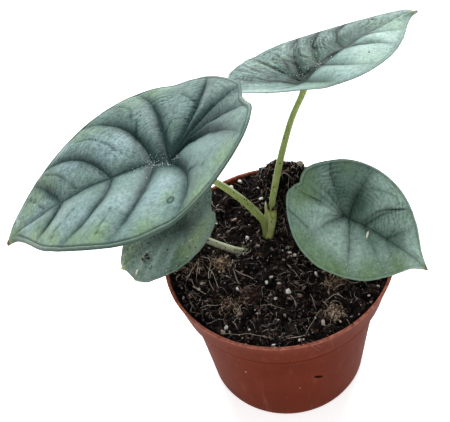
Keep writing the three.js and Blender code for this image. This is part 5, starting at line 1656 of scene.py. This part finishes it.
FIBRES = 2800
starts = scattered(FIBRES, 54, 0, np.zeros(FIBRES))
lines = wandering(starts, draw.uniform(1.5, 8, FIBRES), draw.uniform(-1.7, 1.7, FIBRES),
                  draw.uniform(0, 1.3, FIBRES) ** 2)
fibres = thread_piece("mix_fibres", lines, draw.uniform(0.05, 0.15, FIBRES),
                      draw.uniform(0, 1, FIBRES) ** 2.6)
TUFTED = 44
TUFTS = COIR_BALLS + [(-45, 0, 7, 1), (26, -22, 6, 1), (-26, -27, 9, 1)]
starts = domed(TUFTS, TUFTED) - [1.2, 0, 0]
count = len(starts)
lines = wandering(starts, draw.uniform(2, 6, count), draw.uniform(-3.5, 3.5, count),
                  draw.uniform(0.4, 3, count))
tufts = thread_piece("mix_tufts", lines, draw.uniform(0.09, 0.18, count), draw.uniform(0.2, 0.95, count))
lines = np.stack([laid(path, 16) for path in LONG_FIBRES])
long_fibres = thread_piece("mix_long_fibres", lines, draw.uniform(0.09, 0.15, len(lines)),
                           draw.uniform(0.6, 1, len(lines)))

# %% [markdown]
# A few hair-fine roots hang over the front of the rim, and grains of mix lie on it and
# cling to the wall. A short slot in the wall at the right is a dark lens, painted shade
# where the opening is.

# %% Bits on the pot
RIM_HAIRS = [(275, 6.5, 0.1), (277.5, 4, 0.08), (286, 8, 0.03), (262, 2.5, 0.03)]
RIM_GRAINS = [260, 262, 272.5, 274.5, 275.5, 246, 300, 120, 128, 95]
RIM_MIDDLE = (58.9, 93.2)
WALL_GRAINS = [(271.5, 34.5, 0.5, 1), (238.0, 49.5, 0.5, 1), (235.5, 82.5, 0.5, 0), (260.0, 70.0, 0.3, 0.3)]


def on_wall(angle, z, stand_off=0.0):
    """A point on the pot's outside at an angle in degrees and a height."""
    radius, height = np.array(POT_OUTSIDE).T
    return circled(np.interp(z, height, radius) + stand_off, np.radians(angle), z)


def hanging(angle, drop, drift):
    """A centre line from the mix over the rim at an angle, and down the outside by the drop."""
    along = np.array([(56.5, 91.5, 0), (58.2, 93.6, 0.1), (60.1, 93.4, 0.3),
                      (60.6, 93 - 0.4 * drop, 0.6), (60.5, 93 - drop, 1)])
    return smooth_path(circled(along[:, 0], math.radians(angle) + drift * along[:, 2], along[:, 1]), 14)


lines = np.stack([hanging(*hair) for hair in RIM_HAIRS])
rim_hairs = thread_piece("rim_hairs", lines, np.full(len(lines), 0.15), np.full(len(lines), 0.6))
on_rim, specks = len(RIM_GRAINS), len(stalk_specks)
rim_places = circled(RIM_MIDDLE[0], np.radians(RIM_GRAINS), RIM_MIDDLE[1])
wall_angles, wall_heights, wall_sizes, wall_tones = np.array(WALL_GRAINS).T
places = np.vstack([rim_places, on_wall(wall_angles, wall_heights), stalk_specks])
bit_sizes = np.concatenate([draw.uniform(0.35, 0.7, on_rim), wall_sizes, draw.uniform(0.35, 0.6, specks)])
stretch = (draw.uniform(0.6, 1, len(places)), draw.uniform(0.5, 0.9, len(places)))
tone = np.concatenate([draw.uniform(0.1, 1, on_rim), wall_tones, np.zeros(specks)])
bits = keep(crumbs_at("pot_bits", places, bit_sizes, stretch, tone), None, "potting_mix")
SLOT = dict(angle=284, height=42, half_length=2.5, half_height=1.4, fall=1.5, wall=47.5, sides=24)


def slot_piece():
    """A flat dark lens on the wall that stands in for the slot's opening as painted shade, 5 mm
    long, 2.8 mm high and lower at its right end: rings whose edge dips 0.2 mm into the wall
    and whose middle stands off by a twentieth."""
    turn = round_angles(SLOT["sides"])
    rings = []
    for share, stand_off in ((1.0, -0.2), (1.0, 0.02), (0.6, 0.05)):
        angle = SLOT["angle"] + np.degrees(SLOT["half_length"] * share * np.cos(turn) / SLOT["wall"])
        rise = SLOT["half_height"] * np.sin(turn) - SLOT["fall"] * np.cos(turn)
        rings.append(on_wall(angle, SLOT["height"] + share * rise, stand_off))
    return closed_tube("pot_slot", np.stack(rings), np.zeros((len(rings), SLOT["sides"])))


slot_opening_shade = keep(slot_piece(), None, "pot_plastic")

# %% Soil finishes
def ramp(finish, codes, places, share):
    """A colour ramp through screen colours at these places."""
    stops = [(place, paint(code)) for place, code in zip(places, codes)]
    return finish.add("ShaderNodeValToRGB", {"stops": stops}, {0: share.clipped()})


def mix_finish(name, codes, roughness, grain_size, places=(0.0, 0.4, 0.7, 1.0)):
    """One kind of crumb or thread: each has its own tone, and a grain runs over them all."""
    finish = Finish(name)
    grain = finish.speckle(grain_size, finish.place(), 5.0, 0.7)
    colour = ramp(finish, codes, places, finish.stored("tone") * 0.75 + grain * 0.5 - 0.12)
    return finish.surface(Base_Color=colour, Roughness=roughness, Normal=finish.bump(grain, 0.8, 0.4),
                          Specular_IOR_Level=0.2)


def soil_finish():
    """Almost black in the pits, brown and then pale on what stands up: painted shade and
    painted light that follow the stored height of the roughness, over grain and patches.
    """
    finish = Finish("mix_dark")
    where = finish.place()
    grain = finish.speckle(1.1, where, 6.0, 0.75)
    patch = finish.speckle(9.0, where, 3.0, 0.6)
    # Painted shade in the pits and painted light on what stands up, from the stored rise.
    colour = ramp(finish, ("030202", "070505", "1c1411", "4c3b33", "b09a8a"), (0.0, 0.5, 0.66, 0.82, 1.0),
                  finish.stored("rise") * 0.16 + grain * 0.75 + patch * 0.3 - 0.15)
    return finish.surface(Base_Color=colour, Roughness=0.92, Normal=finish.bump(grain, 0.9, 0.8),
                          Specular_IOR_Level=0.15)


MIX_PIECES = [
    (bark, "mix_bark", ("040303", "130d0b", "5a4238", "dccabf"), 1.2),
    (coir, "mix_coir_tan", ("140e0b", "6b5444", "cbab8e", "fff6e4"), 0.9),
    (clods, "mix_clod_red", ("120b09", "2e1d17", "523830", "8a6557"), 1.0),
    (perlite, "mix_perlite_white", ("b0a498", "ded5cc", "fbf6f0", "ffffff"), 0.9),
    (fibres, "mix_fibre_brown", ("0a0707", "372a25", "a8968b", "fff8f0"), 2.0),
    (tufts, "mix_tuft_tan", ("1e1714", "67523f", "c6ab92", "fff0dd"), 2.0),
    (long_fibres, "mix_fibre_pale", ("a08874", "cbb6a0", "ead8c4", "fff0e0"), 2.0),
    (rim_hairs, "mix_hair", ("5b3a2e", "7d5244", "9a6f5c", "b08a74"), 2.0),
    (bits, "mix_bits", ("0e0907", "2a1d16", "8a7060", "e0cbb4"), 0.9)]
dress(soil, soil_finish())
# Painted shade: the slot's opening is a near-black lens on the wall.
dress(slot_opening_shade, Finish("pot_slot_shade").surface(Base_Color=paint("260c05"), Roughness=0.7,
                                                 Specular_IOR_Level=0.0))
for piece, name, codes, grain_size in MIX_PIECES:
    dress(piece, mix_finish(name, codes, 0.88, grain_size))
print("mix pieces:", len(MIX_PIECES))

# %% [markdown]
# ## Dust on the leaves
#
# The blades carry a sprinkling of white dust, most of it near the hub, a few crumbs of
# mix, a pale splinter and a seed. Each is set on the nearest point of the blade's own top
# surface.

# %% Dust and crumbs on the blades
def on_blade(name, x, y):
    """The blade's top point nearest to each plan place."""
    plan, top = blade_tops[name]
    gap = (plan[None, :, 0] - x[:, None]) ** 2 + (plan[None, :, 1] - y[:, None]) ** 2
    return top[np.argmin(gap, axis=1)]


dust_places, crumb_places, crumb_radii = [], [], []
for name, marks in MARKS.items():
    for x, y, reach, amount in marks["dust"]:
        spread = draw.normal(size=(amount, 2)) * reach * 0.55
        dust_places.append(on_blade(name, x + spread[:, 0], y + spread[:, 1]))
    x, y, radii = np.array(marks["crumbs"], float).T
    crumb_places.append(on_blade(name, x, y))
    crumb_radii.append(radii)
places = np.vstack(dust_places) + [0, 0, 0.16]
dust = strewn("leaf_dust", places, draw.uniform(0.08, 0.22, len(places)), (0.6, 1), (0.5, 1),
              slot_name="leaf_silver")
specks = strewn("leaf_crumbs", np.vstack(crumb_places) + [0, 0, 0.1], np.concatenate(crumb_radii),
                (0.6, 1), (0.4, 0.7), (0, 0.5))


def splinter_piece(name, blade, start, end):
    """A short splinter on a blade, from one plan place to another, half a millimetre above it."""
    first, last = on_blade(blade, *np.array([start, end], float).T) + pose_axes(LEAVES[blade])[2] * 0.5
    path = [first, (first + last) / 2 + [0, 0, 0.2], last]
    ring, _, share = tube(path, [0.3, 0.55, 0.6, 0.5, 0.2], 10, 16)
    return keep(closed_tube(name, ring, share), None, "potting_mix")


splinter = splinter_piece("leaf_splinter", "right", (2.2, 14), (6, 14.2))
seed = splinter_piece("leaf_seed", "low", (-9, 32), (-11, 34))
splinter_finish = Finish("splinter_pale").surface(Base_Color=paint("e4e0d2"), Roughness=0.6)
dress(splinter, splinter_finish)
dress(seed, splinter_finish)
dress(dust, mix_finish("leaf_dust_white", ("eef6f2", "ffffff"), 0.7, 1.0, (0.0, 1.0)))
dress(specks, mix_finish("leaf_crumb_brown", ("1c1410", "4a382c"), 0.9, 1.0, (0.0, 1.0)))

# %% [markdown]
# ## Floor and light
#
# The photograph is lit by broad soft light from behind and above, which puts a silvery
# sheen on the halves of the leaves that lean away from the viewer. One large soft panel
# hangs behind the plant, a weaker one fills from the front, and the floor is plain and
# glows a little, so that the ground stays nearly white.

# %% Floor and lights
FLOOR_REACH = 20000
SKY_COLOUR = (0.95, 0.97, 1.0, 1.0)
SKY_STRENGTH = 0.42


def studio_floor():
    """One wide square that faces up."""
    points = FLOOR_REACH * np.array([(-1, -1, 0), (1, -1, 0), (1, 1, 0), (-1, 1, 0)], float)
    floor = piece_from("floor", points, [(0, 1, 2, 3)], outward=False)
    dress(floor, Finish("floor_pale").surface(Base_Color=paint("f6f6f5"), Roughness=0.8,
                                              Emission_Color=paint("ffffff"), Emission_Strength=0.6))
    floor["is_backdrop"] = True


def panel_light(name, place, aim, size, power, colour):
    """A square soft light at a place, turned so that it shines at the aim."""
    data = bpy.data.lights.new(name, "AREA")
    data.shape = "SQUARE"
    data.size = size * MM
    data.energy = power
    data.color = colour
    back = np.array(place, float) - np.array(aim, float)
    back /= np.linalg.norm(back)
    right = np.cross([0.0, 0.0, 1.0], back)
    right /= np.linalg.norm(right)
    placed(name, data, (right, np.cross(back, right), back), place)


studio_floor()
panel_light("sky_panel", (100, 900, 900), (0, 0, 120), 1100, 24, (0.97, 0.99, 1.0))
panel_light("fill_panel", (-500, -900, 1000), (0, 0, 100), 900, 4, (1.0, 0.99, 0.97))
world = bpy.data.worlds.new("studio")
world.use_nodes = True
background = world.node_tree.nodes["Background"]
background.inputs["Color"].default_value = SKY_COLOUR
background.inputs["Strength"].default_value = SKY_STRENGTH
bpy.context.scene.world = world
bpy.context.scene.view_settings.view_transform = "Standard"

# %% [markdown]
# ## Sizes, and the end
#
# The dressed plant has to fill the same box as the solids.

# %% Finish
visual_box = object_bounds()
sizes = {"cad": [list(map(float, corner)) for corner in cad_box],
         "visual": [list(map(float, corner)) for corner in visual_box]}
for key, box in sizes.items():
    print(key, "box, mm:", [[round(v / MM, 1) for v in corner] for corner in box])
